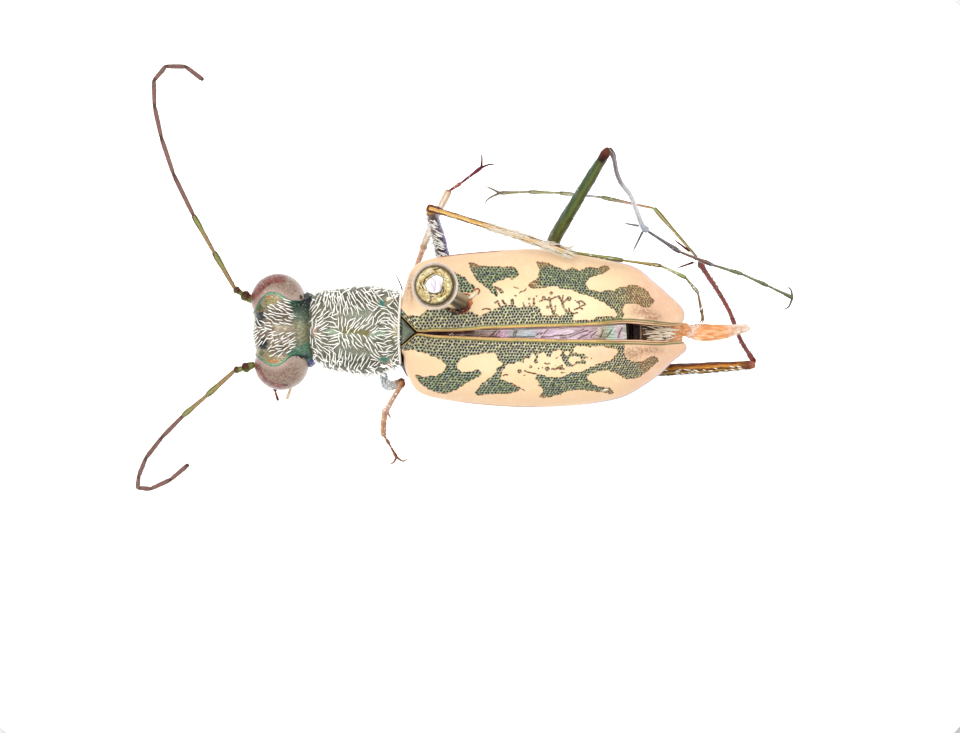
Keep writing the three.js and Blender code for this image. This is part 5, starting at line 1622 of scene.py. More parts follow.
# Hair of the head's top: place and direction in photo pixels
HEAD_FLOW = [
    (268, 314, 0.9, 0.45), (274, 317, 0.95, 0.3), (282, 316, 1, 0), (290, 318, 0.9, 0.35),
    (282, 308, 0.9, 0.4), (290, 311, 0.95, 0.25), (278, 323, 1, 0.1), (286, 324, 0.95, -0.1),
    (268, 347, 0.7, -0.7), (272, 349, 0.9, -0.3), (279, 346, 1, -0.05), (286, 343, 0.85, -0.5),
    (291, 347, 0.9, -0.4), (276, 339, 0.9, -0.4), (283, 335, 0.8, -0.5), (289, 332, 0.85, -0.5),
    (284, 356, 0.75, -0.65), (271, 342, 0.55, -0.8), (262, 324, -0.85, -0.5), (268, 327, -0.95, -0.25),
    (256, 322, -0.5, -0.85), (258, 328, -0.95, 0.1), (262, 334, -0.8, 0.6), (268, 336, -0.85, 0.5),
    (257, 338, -0.7, 0.7), (263, 342, -0.6, 0.8), (270, 332, -1, 0.1),
]
HEAD_OUTLINES = [
    [(264, 313), (270, 308.5), (279, 302), (287, 300), (293, 305), (294.5, 312), (294, 322), (288, 325),
     (280, 324.5), (272, 322.5), (266, 319)],
    [(268, 350.5), (271, 343), (274.5, 334.5), (282, 331.5), (291, 331.5), (292, 340), (293, 349),
     (288, 353.5), (279, 355), (272, 354.5)],
    [(251, 322), (256, 318.5), (262, 320), (268, 323), (272, 328), (272.5, 334), (268, 340), (262, 345.5),
     (256, 343), (252, 338)],
]


def border_of(name):
    return seen(smooth_path(EYE_BORDER[name], 90), -0.6)[:, :2].T


def head_field(p):
    x, y = p[..., 0], p[..., 1]
    cranium = ball(p, (-3.8, 0.03, -1.6), (0.73, 1.02, 0.86))
    face = ball(p, (-3.98, 0.03, -2.25), (0.52, 0.8, 0.72))
    body = melt(cranium, face, 0.3)
    neck = ball(p, (-3.2, 0.07, -1.5), (0.6, 0.96, 0.86))
    body = melt(body, neck, 0.22)
    body = melt(body, ball(p, (-3.02, 0.84, -1.45), (0.3, 0.3, 0.4)), 0.1)
    body = melt(body, ball(p, (-3.0, -0.7, -1.45), (0.26, 0.26, 0.4)), 0.1)
    for eye in EYES.values():
        body = melt(body, ball(p, eye["at"], np.array(eye["size"]) + HOOD), 0.12)
    body = body + 0.045 * np.exp(-((y - 0.03) / 0.35) ** 2 - ((x + 3.85) / 0.5) ** 2)
    for name, eye in EYES.items():
        border = np.interp(x, *border_of(name))
        beyond = eye["side"] * (border - y)
        body = np.maximum(body, -np.maximum(ball(p, eye["at"], np.array(eye["size"]) + HOOD + 0.03),
                                            beyond))
    return body


def head():
    shape = skin_of(head_field, (-4.8, -1.75, -3.25), (-2.45, 1.8, -0.3), 0.025)
    p = shape.points
    grain = 0.006 * ripple(p * [0.8, 2.5, 1.0], 0.16, 51) + 0.003 * ripple(p, 0.07, 52)
    shape.points = p + grain[:, None] * unit(p - np.array([-3.7, 0.0, -1.5]))
    x, y = p[:, 0], p[:, 1]
    rims = [to_path(p[:, :2], np.stack(border_of(name), 1)) for name in EYES]
    near = np.min(rims, axis=0) / 0.3
    patches(shape, HEAD_TINTS)
    pixels = pixels_of(p)
    coat = np.max([inside_by(pixels, outline) for outline in HEAD_OUTLINES], axis=0)
    shape.values["rim"] = np.clip(near + 3 * (p[:, 2] < -1.25), 0, 1)
    first, last = RIM_COLUMNS
    shape.values["rim_place"] = np.clip((pixels[:, 0] - first) / (last - first), 0, 1)
    past = pixels[:, 0] - np.where(y > 0, RIM_END["right"], RIM_END["left"])
    shape.values["rimmed"] = 1 - step(0, 7, past)
    shape.values["back"] = step(-3.45, -3.15, x + 0.25 * np.abs(y))
    shape.values["side"] = np.clip(0.5 + y / 2, 0, 1)
    # Where the hair patches lie; the paint darkens the skin there as painted shade between the hairs
    shape.values["coat"] = step(-2, 1.5, coat)
    add("head_skin", shape, PAINTS["head"], ["head"])
    return shape


def eyes():
    rows, cols = 130, 160
    for name, eye in EYES.items():
        side = eye["side"]
        polar, turn = grid(np.linspace(0.03, math.pi - 0.03, rows), turns_round(cols))
        sphere = np.stack([np.sin(polar) * np.cos(turn), np.cos(polar) * side,
                           np.sin(polar) * np.sin(turn)], -1)
        points = np.array(eye["at"]) + sphere * eye["size"]
        points = points + 0.002 * ripple(points, 0.5, 61)[..., None] * sphere
        front = sphere @ unit(np.array([-0.8, 0.6 * side, 0]))
        high = sphere[..., 2]
        low_edge, high_edge = eye["band"]
        band = step(low_edge - 0.1, low_edge + 0.06, high)
        band = band * (1 - step(high_edge - 0.1, high_edge + 0.08, high))
        crescent = band * step(0.05, 0.55, front / np.maximum(np.sqrt(1 - high ** 2), 0.2))
        border = to_path(points[..., :2].reshape(-1, 2), np.stack(border_of(name), 1)).reshape(high.shape)
        pale = 1 - step(0.03, 0.2, border)
        skirt = 1 - step(0.12, 0.34, high)
        rear = step(0.2, 0.7, sphere[..., 0]) * (1 - step(0.1, 0.45, border))
        dome = closed(points, dark=crescent, pale=pale, skirt=skirt, rear=rear)
        add(f"eye_dome_{name}", dome, PAINTS["eye"], [f"eye_{name}"])


def mouth():
    """Upper lip and jaws, below the bent head."""
    rows, cols = 60, 80
    u, v = grid(np.linspace(0, 1, rows), np.linspace(-1, 1, cols))
    y = 0.03 + v * 0.56 * (1 - 0.15 * u)
    z = -2.72 - u * (0.5 + 0.06 * np.abs(np.cos(v * 4.7)) - 0.14 * v ** 2)
    x = -4.34 + 0.2 * v ** 2 + 0.1 * u ** 2 + 0.01 * ripple(np.stack([u, v, u * 0], -1), 0.3, 71)
    front = np.stack([x, y, z], -1)
    back = front[:, ::-1] + [0.16, 0, 0]
    t = np.concatenate([u, u[:, ::-1]], 1) * 0.6
    lip = closed(np.concatenate([front, back], 1), along=t)
    add("upper_lip", lip, PAINTS["ivory"], ["labrum"])
    for name, side in (("right", 1), ("left", -1)):
        def sided(path):
            return [[x, y * side, z] for x, y, z in path]
        blade = Limb(sided([[-3.72, 0.52, -2.9], [-3.68, 0.68, -3.3], [-3.8, 0.58, -3.8],
                            [-3.95, 0.3, -4.2]]),
                     [(0, 0.22), (0.3, 0.22), (0.7, 0.13), (1, 0.025)], rows=60, sides=24, deep=0.7)
        teeth = [
            Limb(sided([a, b]), [(0, 0.1), (1, 0.015)], rows=16, sides=12)
            for a, b in (([-3.7, 0.66, -3.45], [-3.86, 0.32, -3.5]),
                         ([-3.76, 0.62, -3.66], [-3.92, 0.28, -3.74]),
                         ([-3.82, 0.52, -3.86], [-3.97, 0.22, -3.95]))]
        jaw = joined([blade.shape(), *[tooth.shape() for tooth in teeth]])
        add(f"jaw_{name}", jaw, PAINTS["ivory"], [f"mandible_{name}"])


PALPS = {
    "maxillary_palp_left": [[-3.72, -0.98, -2.75], [-3.88, -1.3, -3.1], [-3.96, -1.6, -3.2],
                            [-3.87, -1.88, -3.25]],
    "maxillary_palp_right": [[-3.72, 0.98, -2.75], [-3.95, 1.2, -3.2], [-4.1, 1.15, -3.7],
                             [-4.2, 0.95, -4.0]],
    "labial_palp_left": [[-3.25, -0.45, -2.9], [-3.32, -0.95, -3.4], [-3.48, -1.42, -3.5],
                         [-3.62, -1.84, -3.5]],
    "labial_palp_right": [[-3.25, 0.45, -2.9], [-3.1, 0.75, -3.45], [-3.2, 0.8, -4.0], [-3.4, 0.65, -4.35]],
}


def segments(joints, radii, flare, sides=14):
    """Straight segments from joint to joint, each a little wider at its outer end."""
    shapes = []
    for k, (a, b) in enumerate(zip(joints, joints[1:])):
        r = radii[k]
        way = unit(np.subtract(b, a))
        path = [np.array(a) + way * r * 0.35, np.array(b) - way * r * 0.1]
        girth = [(0, r * 0.7), (0.12, r * 0.86), (0.5, r), (0.88, r * flare), (1, r * flare * 0.85)]
        shapes.append(Limb(path, girth, 22, sides, cap=0.5))
    return shapes


def palps():
    for name, joints in PALPS.items():
        thick = 0.06 if "maxillary" in name else 0.08
        limbs = segments(joints, [thick * 1.2, thick, thick * 0.6], 1.1)
        paint = PAINTS["palp_dark"] if "maxillary" in name else PAINTS["palp_pale"]
        add(f"{name}_skin", joined([k.shape() for k in limbs]), paint, [name])


ANTENNAE = {
    "right": [
        [-4.45, 0.86, -1.42], [-4.78, 1.07, -1.35], [-5.0, 1.22, -1.25], [-5.58, 2.23, -0.55],
        [-6.15, 3.25, 0.05], [-6.71, 4.4, 0.3], [-7.05, 5.42, 0.1], [-7.24, 6.29, -0.5],
        [-7.26, 7.01, -1.0], [-6.93, 7.41, -1.5], [-6.38, 7.4, -1.9], [-5.9, 7.04, -2.2],
    ],
    "left": [
        [-4.45, -0.86, -1.42], [-4.76, -0.98, -1.4], [-5.0, -1.03, -1.45], [-5.77, -1.72, -2.1],
        [-6.43, -2.28, -2.9], [-7.03, -2.89, -3.8], [-7.48, -3.47, -4.5], [-7.68, -3.97, -5.1],
        [-7.71, -4.3, -5.6], [-7.35, -4.33, -5.9], [-6.79, -4.07, -5.7], [-6.31, -3.66, -5.4],
    ],
}
ANTENNA_PARTS = {"base": (0, 2), "middle": (2, 6), "tip": (6, 11)}


def antennae():
    rng = np.random.default_rng(81)
    for side, joints in ANTENNAE.items():
        joints = sighted(joints)
        radii = [0.12, 0.085, 0.07, 0.066, 0.066, 0.066, 0.066, 0.066, 0.064, 0.062, 0.06]
        limbs = segments(joints, radii, 1.3)
        for limb in limbs[4:]:
            limb.girth = [(0, 0.05), (0.1, 0.062), (0.8, 0.068), (1, 0.056)]
        for part, (first, last) in ANTENNA_PARTS.items():
            paint = PAINTS[{"base": "scape", "middle": "antenna_base", "tip": "antenna"}[part]]
            shapes = [k.shape() for k in limbs[first:last]]
            if part == "middle":
                matt = joined(shapes[2:])
                add(f"antenna_{side}_matt", matt, PAINTS["antenna"])
                shapes = shapes[:2]
            add(f"antenna_{side}_{part}_skin", joined(shapes), paint, [f"antenna_{side}_{part}"])
        coats = []
        for limb, thick in [(k, 34) for k in limbs[4:]] + [(k, 5) for k in limbs[1:4]]:
            roots, outs, tangents, spots = hair_places(limb, rng, thick)
            ways = tangents * 0.8 + outs * 0.6
            coats.append(hairs(roots, ways, outs, rng.uniform(0.05, 0.09, thick), 0.005, spots, 0.1,
                               rings=3))
        add(f"antenna_{side}_hairs", joined(coats), PAINTS["dark_hair"])


# Legs. Each has the places of its joints, and the radii of its femur, tibia and tarsus.

CLAW_REACH = 1.2
CLAW_GIRTH = [(0, 0.036), (0.5, 0.0252), (1, 0.0054)]
SPUR_GIRTH = [(0, 0.036), (0.6, 0.026), (1, 0.005)]
# Share of the length, and share of the radius there
FEMUR_GIRTH = [(0, 0.62), (0.05, 0.8), (0.15, 0.95), (0.4, 1), (0.8, 0.86), (0.93, 0.72), (0.98, 0.72),
               (1, 0.58)]
TIBIA_GIRTH = [(0, 1.3), (0.04, 1.3), (0.1, 1), (0.5, 1), (0.9, 1.1), (0.98, 1.5), (1, 1)]
PAD_GIRTH = [(0, 0.9), (0.2, 1), (0.9, 1), (1, 0.9)]
LEGS = {
    "front_right": {
        "coxa": [[-1.03, 0.5, -2.35], [-0.95, 0.62, -3.05]],
        "femur": [[-0.93, 0.64, -2.95], [-0.6, 0.72, -4.3], [-0.2, 0.83, -5.8]],
        "tibia": [[-0.2, 0.86, -5.85], [0.0, 1.7, -4.6], [0.25, 2.44, -3.15]],
        "tarsus": [[0.25, 2.46, -3.12], [0.47, 3.0, -3.15], [0.69, 3.47, -3.2], [0.93, 3.94, -3.25],
                   [1.25, 4.15, -3.4], [1.84, 4.6, -3.5]],
        "claws": [[[1.85, 4.83, -3.5], [1.82, 4.95, -3.6]], [[2.04, 4.67, -3.5], [2.2, 4.65, -3.6]]],
        "spurs": [[[0.25, 2.46, -3.15], [0.36, 2.62, -3.4]]],
        "radii": (0.15, 0.075, 0.045), "pads": 0.105,
    },
    "front_left": {
        "coxa": [[-1.03, -0.5, -2.2], [-0.92, -1.0, -2.9]],
        "femur": [[-0.9, -1.0, -3.0], [-0.82, -1.42, -2.95], [-0.6, -1.45, -2.4], [-0.36, -1.33, -1.8]],
        "tibia": [[-0.36, -1.4, -1.75], [-0.61, -1.81, -2.7], [-0.83, -2.19, -4.3]],
        "tarsus": [[-0.84, -2.2, -4.32], [-0.87, -2.42, -4.75], [-0.89, -2.62, -5.0], [-0.88, -2.83, -5.2],
                   [-0.73, -3.07, -5.5], [-0.52, -3.45, -5.7]],
        "claws": [[[-0.6, -3.58, -5.75], [-0.72, -3.57, -5.9]],
                  [[-0.37, -3.54, -5.75], [-0.23, -3.46, -5.9]]],
        "spurs": [[[-0.8, -2.15, -4.3], [-0.66, -2.4, -4.6]]],
        "radii": (0.13, 0.074, 0.04), "pads": 0.088,
    },
    "middle_right": {
        "coxa": [[1.31, 0.42, -2.75], [1.14, 0.9, -3.05]],
        "femur": [[1.12, 0.98, -3.05], [0.8, 2.05, -2.3], [0.66, 2.62, -1.55], [0.42, 3.47, 0.78]],
        "tibia": [[0.44, 3.46, 0.8], [2.1, 2.94, 0.45], [4.15, 2.28, -0.05]],
        "tarsus": [[4.15, 2.28, -0.06], [5.76, 2.02, -0.1], [6.82, 1.87, -0.3], [7.51, 1.54, -0.55],
                   [7.85, 1.13, -0.75], [7.97, 0.55, -0.92]],
        "claws": [[[8.0, 0.42, -0.95], [7.96, 0.28, -1.0]], [[7.96, 0.4, -0.95], [7.88, 0.3, -1.0]]],
        "spurs": [[[4.1, 2.32, -0.1], [4.45, 2.42, -0.25]], [[4.1, 2.27, -0.1], [4.42, 2.14, -0.3]]],
        "radii": (0.2, 0.084, 0.042), "pads": None,
    },
    "middle_left": {
        "coxa": [[1.31, -0.42, -2.75], [1.19, -0.85, -3.15]],
        "femur": [[1.19, -0.85, -3.2], [1.5, -1.2, -5.0], [1.8, -1.42, -6.5]],
        "tibia": [[1.8, -1.42, -6.55], [3.6, -1.1, -5.95], [5.4, -0.82, -5.2]],
        "tarsus": [[5.4, -0.82, -5.2], [6.75, -0.53, -5.9], [7.1, -0.42, -6.9], [6.9, -0.33, -7.6],
                   [6.5, -0.28, -7.9], [5.95, -0.25, -8.1]],
        "claws": [[[5.78, -0.34, -8.15], [5.65, -0.42, -8.3]], [[5.78, -0.16, -8.15], [5.65, -0.08, -8.3]]],
        "spurs": [[[5.35, -0.86, -5.2], [5.65, -1.0, -5.4]]],
        "radii": (0.19, 0.074, 0.05), "pads": None,
    },
    "hind_right": {
        "coxa": [[3.06, 0.5, -2.8], [3.4, 0.85, -3.1]],
        "femur": [[3.45, 0.95, -3.15], [3.61, 1.69, -2.95], [3.8, 2.45, -2.1], [4.42, 3.56, -0.7],
                  [5.33, 5.06, 1.1]],
        "tibia": [[5.4, 5.08, 1.08], [5.49, 4.95, 0.85], [5.6, 4.45, -0.2], [5.71, 4.18, -0.8],
                  [5.97, 3.83, -1.6], [6.19, 3.28, -3.0], [6.33, 2.95, -3.8], [6.44, 2.85, -4.15]],
        "tarsus": [[6.46, 2.83, -4.2], [7.34, 2.26, -5.2], [8.24, 1.9, -6.0], [9.07, 1.64, -6.8],
                   [9.78, 1.32, -7.3], [10.48, 0.98, -7.75]],
        "claws": [[[10.44, 1.17, -7.8], [10.31, 1.26, -7.95]], [[10.39, 0.77, -7.8], [10.2, 0.68, -7.95]]],
        "spurs": [[[6.19, 2.98, -3.9], [5.76, 3.06, -4.3]], [[6.31, 2.8, -4.1], [6.01, 2.19, -4.5]]],
        "radii": (0.2, 0.066, 0.045), "pads": None,
    },
    "hind_left": {
        "coxa": [[3.19, -0.5, -2.8], [3.5, -0.85, -3.1]],
        "femur": [[3.6, -0.95, -3.3], [6.53, -1.03, -3.35], [9.38, -0.89, -2.95]],
        "tibia": [[9.4, -0.78, -3.0], [9.04, -0.19, -4.0], [8.7, 0.66, -5.4], [7.9, 1.95, -7.7]],
        "tarsus": [[7.83, 2.1, -7.74], [6.65, 3.46, -7.9], [5.19, 3.77, -8.0], [4.03, 3.89, -8.05],
                   [3.17, 3.92, -8.1], [2.35, 3.89, -8.1]],
        "claws": [[[2.13, 4.0, -8.15], [1.96, 4.07, -8.25]], [[2.08, 3.75, -8.15], [1.95, 3.55, -8.25]]],
        "spurs": [[[7.72, 1.96, -7.7], [7.23, 1.79, -7.9]], [[7.61, 2.28, -7.75], [7.14, 2.63, -7.9]]],
        "radii": (0.19, 0.062, 0.044), "pads": None,
    },
}

# Hairs of each leg: part, number, length, radius, lift and shares of the part, and for some
# the side they grow on and the way they point
COATS = {
    "front_right": [("coxa", 80, 0.16, 0.016, 0.5, (0.1, 0.9)),
                    ("femur", 90, 0.12, 0.014, 0.4, (0.05, 0.95)),
                    ("tibia", 60, 0.12, 0.009, 0.4, (0.1, 0.95)),
                    ("tarsus", 12, 0.06, 0.008, 0.5, (0.1, 0.9))],
    "front_left": [("coxa", 36, 0.2, 0.018, 0.5, (0.1, 0.9)), ("femur", 30, 0.22, 0.02, 0.5, (0.1, 0.9)),
                   ("tibia", 16, 0.12, 0.012, 0.4, (0.1, 0.95), (-1, 0.2, 0.1)),
                   ("tarsus", 10, 0.06, 0.008, 0.5, (0.1, 0.9))],
    "middle_right": [("coxa", 90, 0.16, 0.016, 0.5, (0.1, 0.9)),
                     ("femur", 120, 0.24, 0.024, 0.5, (0.2, 0.9), (-1, -0.1, 0.75), (0.75, -0.35, 0.4)),
                     ("femur", 130, 0.15, 0.016, 0.5, (0.2, 0.93), (-1, -0.1, 0.1), (-0.7, -0.45, 0.2)),
                     ("femur", 90, 0.1, 0.008, 0.5, (0.2, 0.93), (1, 0.1, 0.1)),
                     ("tibia", 46, 0.06, 0.008, 0.4, (0.1, 0.36), (0, -1, 0.2)),
                     ("tarsus", 10, 0.09, 0.009, 0.5, (0.1, 0.9), (0, -1, 0.2))],
    "middle_left": [("coxa", 90, 0.16, 0.016, 0.5, (0.1, 0.9)),
                    ("femur", 190, 0.2, 0.016, 0.5, (0.1, 0.9)),
                    ("tarsus", 14, 0.08, 0.009, 0.5, (0.1, 0.9))],
    "hind_right": [("coxa", 90, 0.16, 0.016, 0.5, (0.1, 0.9)),
                   ("femur", 34, 0.06, 0.013, 0.5, (0.1, 0.95)),
                   ("tibia", 40, 0.1, 0.008, 0.3, (0.1, 0.95)),
                   ("tarsus", 16, 0.07, 0.006, 0.5, (0.1, 0.95))],
    "hind_left": [("coxa", 90, 0.16, 0.016, 0.5, (0.1, 0.9)),
                  ("femur", 120, 0.13, 0.016, 0.2, (0.1, 0.97), (0, -1, 0.15), (0.95, -0.1, 0.15)),
                  ("tarsus", 12, 0.07, 0.007, 0.45, (0.1, 0.95))],
}
TINTED_COATS = {
    "middle_right": ("cream_hair", [("tibia", 390, 0.38, 0.012, 0.2, (0.38, 1.0))]),
    "middle_left": ("cream_hair", [("tibia", 300, 0.36, 0.0125, 0.25, (0.33, 1.0))]),
    "hind_left": ("rust_hair", [("tibia", 170, 0.1, 0.013, 0.5, (0.03, 0.97))]),
    "hind_right": ("black_hair", [("tarsus", 12, 0.08, 0.01, 0.4, (0.05, 0.95))]),
}

# Colours of each leg: along each part, and across it from its right to its left side
LEG_COLOURS = {
    "front_right": {
        "coxa": ([(0, (110, 120, 116)), (1, (150, 150, 140))], None),
        "femur": ([(0, (120, 126, 120)), (1, (110, 70, 48))], None),
        "tibia": ([(0, (96, 54, 34)), (0.15, (190, 135, 100)), (0.9, (198, 142, 110)),
                   (1, (206, 170, 140))], None),
        "tarsus": ([(0, (216, 194, 172)), (0.4, (228, 208, 188)), (0.59, (214, 184, 158)),
                    (0.605, (140, 76, 60)), (0.64, (130, 52, 48)), (0.74, (176, 110, 88)),
                    (0.8, (150, 80, 66)), (0.82, (110, 40, 56)), (0.97, (112, 40, 60)),
                    (1, (84, 32, 44))], None),
    },
    "front_left": {
        "coxa": ([(0, (140, 152, 162)), (1, (172, 186, 198))], None),
        "femur": ([(0, (190, 204, 218)), (0.8, (180, 176, 170)), (0.9, (150, 94, 60)), (1, (116, 66, 42))],
                  None),
        "tibia": ([(0, (132, 74, 44)), (0.12, (180, 122, 82)), (0.9, (180, 122, 84)), (1, (140, 84, 56))],
                  [(0, (220, 186, 146)), (0.5, (180, 124, 82)), (0.85, (134, 70, 46)), (1, (104, 44, 32))],
                  0.6),
        "tarsus": ([(0, (190, 140, 100)), (0.58, (196, 148, 108)), (0.6, (150, 70, 50)),
                    (0.64, (112, 38, 32)), (0.79, (92, 26, 22)), (0.82, (84, 16, 16)), (1, (72, 12, 14))],
                   [(0, (214, 170, 130)), (0.5, (190, 140, 100)), (0.85, (150, 70, 50)),
                    (1, (110, 40, 34))]),
    },
    "middle_right": {
        "coxa": ([(0, (72, 80, 74)), (1, (120, 120, 104))], None),
        "femur": ([(0, (90, 60, 50)), (0.4, (80, 50, 58)), (0.88, (92, 58, 60)), (0.94, (70, 34, 20)),
                   (0.965, (124, 68, 34)), (0.985, (228, 162, 74)), (1, (120, 66, 34))],
                  [(0, (150, 140, 206)), (0.12, (92, 74, 140)), (0.32, (70, 44, 58)), (0.7, (78, 56, 54)),
                   (1, (120, 100, 96))]),
        "tibia": ([(0, (130, 74, 38)), (0.02, (232, 170, 78)), (0.045, (120, 70, 42)),
                   (0.075, (240, 194, 112)), (0.4, (242, 200, 126)), (0.6, (214, 180, 130)),
                   (1, (150, 120, 84))],
                  [(0, (78, 44, 56)), (0.2, (104, 60, 56)), (0.28, (244, 200, 120)),
                   (0.45, (250, 212, 136)), (0.58, (204, 134, 62)), (0.7, (244, 200, 120)),
                   (0.8, (104, 62, 56)), (1, (78, 44, 52))], 0.85),
        "tarsus": ([(0, (60, 40, 24)), (0.03, (112, 112, 60)), (0.17, (122, 122, 70)), (0.2, (80, 60, 30)),
                    (0.23, (176, 146, 84)), (0.38, (162, 132, 72)), (0.4, (72, 60, 34)),
                    (0.43, (182, 190, 130)), (0.58, (168, 174, 114)), (0.6, (70, 60, 40)),
                    (0.63, (124, 128, 92)), (0.79, (110, 110, 80)), (0.8, (72, 50, 40)),
                    (0.84, (134, 54, 42)), (1, (110, 40, 34))],
                   [(0, (60, 50, 26)), (0.4, (128, 124, 70)), (0.75, (196, 190, 130)), (1, (90, 86, 44))]),
    },
    "hind_right": {
        "coxa": ([(0, (60, 76, 56)), (1, (110, 116, 84))], None),
        "femur": ([(0, (100, 80, 40)), (0.3, (184, 134, 52)), (0.42, (140, 122, 52)),
                   (0.55, (92, 112, 58)), (0.85, (80, 104, 56)), (0.93, (54, 50, 34)),
                   (0.96, (48, 20, 16)), (0.985, (78, 34, 26)), (1, (104, 54, 42))],
                  [(0, (48, 56, 34)), (0.2, (82, 90, 48)), (0.45, (116, 128, 70)), (0.72, (68, 92, 60)),
                   (0.9, (42, 62, 50)), (1, (28, 46, 38))]),
        "tibia": ([(0, (60, 36, 34)), (0.06, (92, 62, 62)), (0.34, (98, 70, 72)), (0.4, (206, 202, 204)),
                   (0.7, (228, 226, 228)), (0.9, (166, 174, 188)), (0.97, (140, 156, 178)),
                   (1, (70, 60, 76))],
                  [(0, (60, 60, 80)), (0.22, (190, 186, 192)), (0.42, (96, 100, 120)),
                   (0.62, (230, 228, 230)), (0.8, (116, 112, 126)), (1, (50, 44, 58))], 0.4),
        "tarsus": ([(0, (40, 40, 60)), (0.03, (92, 82, 112)), (0.16, (88, 78, 104)), (0.2, (70, 44, 54)),
                    (0.24, (112, 52, 50)), (0.36, (116, 54, 52)), (0.385, (48, 54, 80)),
                    (0.41, (70, 76, 84)), (0.44, (112, 126, 80)), (0.585, (106, 120, 76)),
                    (0.6, (52, 52, 40)), (0.63, (112, 126, 80)), (0.785, (104, 116, 72)),
                    (0.8, (52, 50, 40)), (0.83, (112, 124, 78)), (0.97, (90, 96, 60)), (1, (58, 42, 38))],
                   [(0, (60, 60, 50)), (0.4, (116, 116, 92)), (0.7, (180, 176, 150)), (1, (70, 66, 56))]),
    },
    "hind_left": {
        "coxa": ([(0, (60, 76, 56)), (1, (110, 116, 84))], None),
        "femur": ([(0, (120, 76, 36)), (0.95, (130, 80, 38)), (0.98, (110, 56, 38)), (1, (168, 102, 80))],
                  [(0, (56, 32, 22)), (0.1, (90, 56, 30)), (0.19, (196, 168, 88)), (0.29, (112, 68, 28)),
                   (0.4, (92, 52, 22)), (0.5, (196, 136, 54)), (0.64, (188, 126, 48)),
                   (0.76, (132, 62, 32)), (0.88, (74, 40, 42)), (1, (58, 30, 40))]),
        "tibia": ([(0, (100, 18, 12)), (0.5, (120, 28, 18)), (0.9, (110, 24, 16)), (1, (52, 24, 28))],
                  [(0, (54, 10, 8)), (0.35, (126, 32, 20)), (0.6, (150, 58, 40)), (1, (62, 12, 10))]),
        "tarsus": ([(0, (50, 46, 30)), (0.04, (146, 124, 62)), (0.18, (152, 142, 72)),
                    (0.2, (124, 146, 66)), (0.22, (182, 122, 82)), (0.3, (192, 144, 146)),
                    (0.36, (124, 122, 80)), (0.395, (90, 110, 46)), (0.41, (56, 56, 38)),
                    (0.43, (178, 172, 182)), (0.5, (178, 172, 186)), (0.58, (162, 166, 120)),
                    (0.6, (66, 56, 42)), (0.63, (152, 150, 112)), (0.785, (142, 138, 98)),
                    (0.8, (66, 56, 42)), (0.83, (142, 132, 86)), (0.96, (120, 110, 70)),
                    (1, (70, 44, 52))], [(0, (70, 60, 44)), (0.4, (130, 122, 84)), (0.7, (210, 204, 170)),
                                         (1, (84, 76, 50))]),
    },
}
LEG_COLOURS["middle_left"] = LEG_COLOURS["middle_right"]


def claw(toe, path):
    middle, tip = toe + CLAW_REACH * (sighted(path) - toe)
    return Limb([toe, middle, tip], CLAW_GIRTH, 18, 10).shape(1, 1)


def leg_coat(limb, rng, count, length, radius, lift, shares, side=None, toward=None):
    roots, outs, tangents, spots = hair_places(limb, rng, count * (2 if side else 1), shares)
    if side:
        facing = outs @ unit(np.array(side, float)) > 0.15
        roots, outs, tangents, spots = (rows[facing] for rows in (roots, outs, tangents, spots))
    ways = tangents * math.cos(lift) + outs * math.sin(lift)
    if toward:
        ways = unit(np.array(toward, float)) + outs * 0.25
    ways = ways + rng.normal(0, 0.12, roots.shape)
    lengths = length * rng.uniform(0.7, 1.25, len(roots))
    return hairs(roots - outs * 0.01, ways, outs, lengths, radius, spots, 0.15)


def leg(name):
    data = LEGS[name] | {part: sighted(LEGS[name][part]) for part in ("coxa", "femur", "tibia", "tarsus")}
    thigh, shin, foot = data["radii"]

    def bumps(s, a):
        return 0.004 * np.sin(a * 5 + s * 40) + 0.003 * np.sin(a * 3 - s * 95)
    coxa = Limb(data["coxa"], [(0, 0.34), (0.5, 0.32), (0.85, 0.24), (1, 0.18)], rows=50, sides=36,
                relief=bumps)
    femur = Limb(data["femur"], scaled(FEMUR_GIRTH, thigh), rows=110, sides=36, wide=0.95, relief=bumps)
    tibia = Limb(data["tibia"], scaled(TIBIA_GIRTH, shin), rows=110, sides=24,
                 relief=lambda s, a: bumps(s, a) * shin * 8)
    feet = segments(data["tarsus"], [foot * 1.1, foot, foot, foot * 0.95, foot * 0.9], 1.45, sides=16)
    if data["pads"]:
        for foot_part in feet[:3]:
            foot_part.girth = scaled(PAD_GIRTH, data["pads"])
    spurs = [Limb(sighted(path), SPUR_GIRTH, 14, 10).shape(1, 1) for path in data["spurs"]]
    toes = [k.shape(i / 5, (i + 1) / 5) for i, k in enumerate(feet)]
    claws = [claw(data["tarsus"][-1], path) for path in data["claws"]]
    shapes = {
        "coxa": [coxa.shape()], "femur": [femur.shape()], "tibia": [tibia.shape(), *spurs],
        "tarsus": toes + claws}
    for part, pieces in shapes.items():
        add(f"{part}_{name}_skin", joined(pieces), PAINTS[f"{part}_{name}"], [f"{part}_{name}"])
    return {"coxa": [coxa], "femur": [femur], "tibia": [tibia], "tarsus": feet}


def legs():
    rng = np.random.default_rng(91)
    grown = {}
    for name in LEGS:
        limbs = grown[name] = leg(name)
        coats = []
        for part, *values in COATS[name]:
            coats += [leg_coat(limb, rng, *values) for limb in limbs[part]]
        add(f"leg_hairs_{name}", joined(coats), PAINTS["white_hair"])
    for name, (paint, coats) in TINTED_COATS.items():
        pieces = [leg_coat(limb, rng, *values) for part, *values in coats for limb in grown[name][part]]
        add(f"leg_fringe_{name}", joined(pieces), PAINTS[paint])


# Hairs of the head and the body

def flow(places, controls):
    """Directions at places, blended from rows of (x, y, direction x, direction y)."""
    table = np.array(controls, float)
    away = np.linalg.norm(places[:, None] - table[None, :, :2], axis=2)
    return unit((1 / (away + 0.5) ** 4) @ unit(table[:, 2:]))


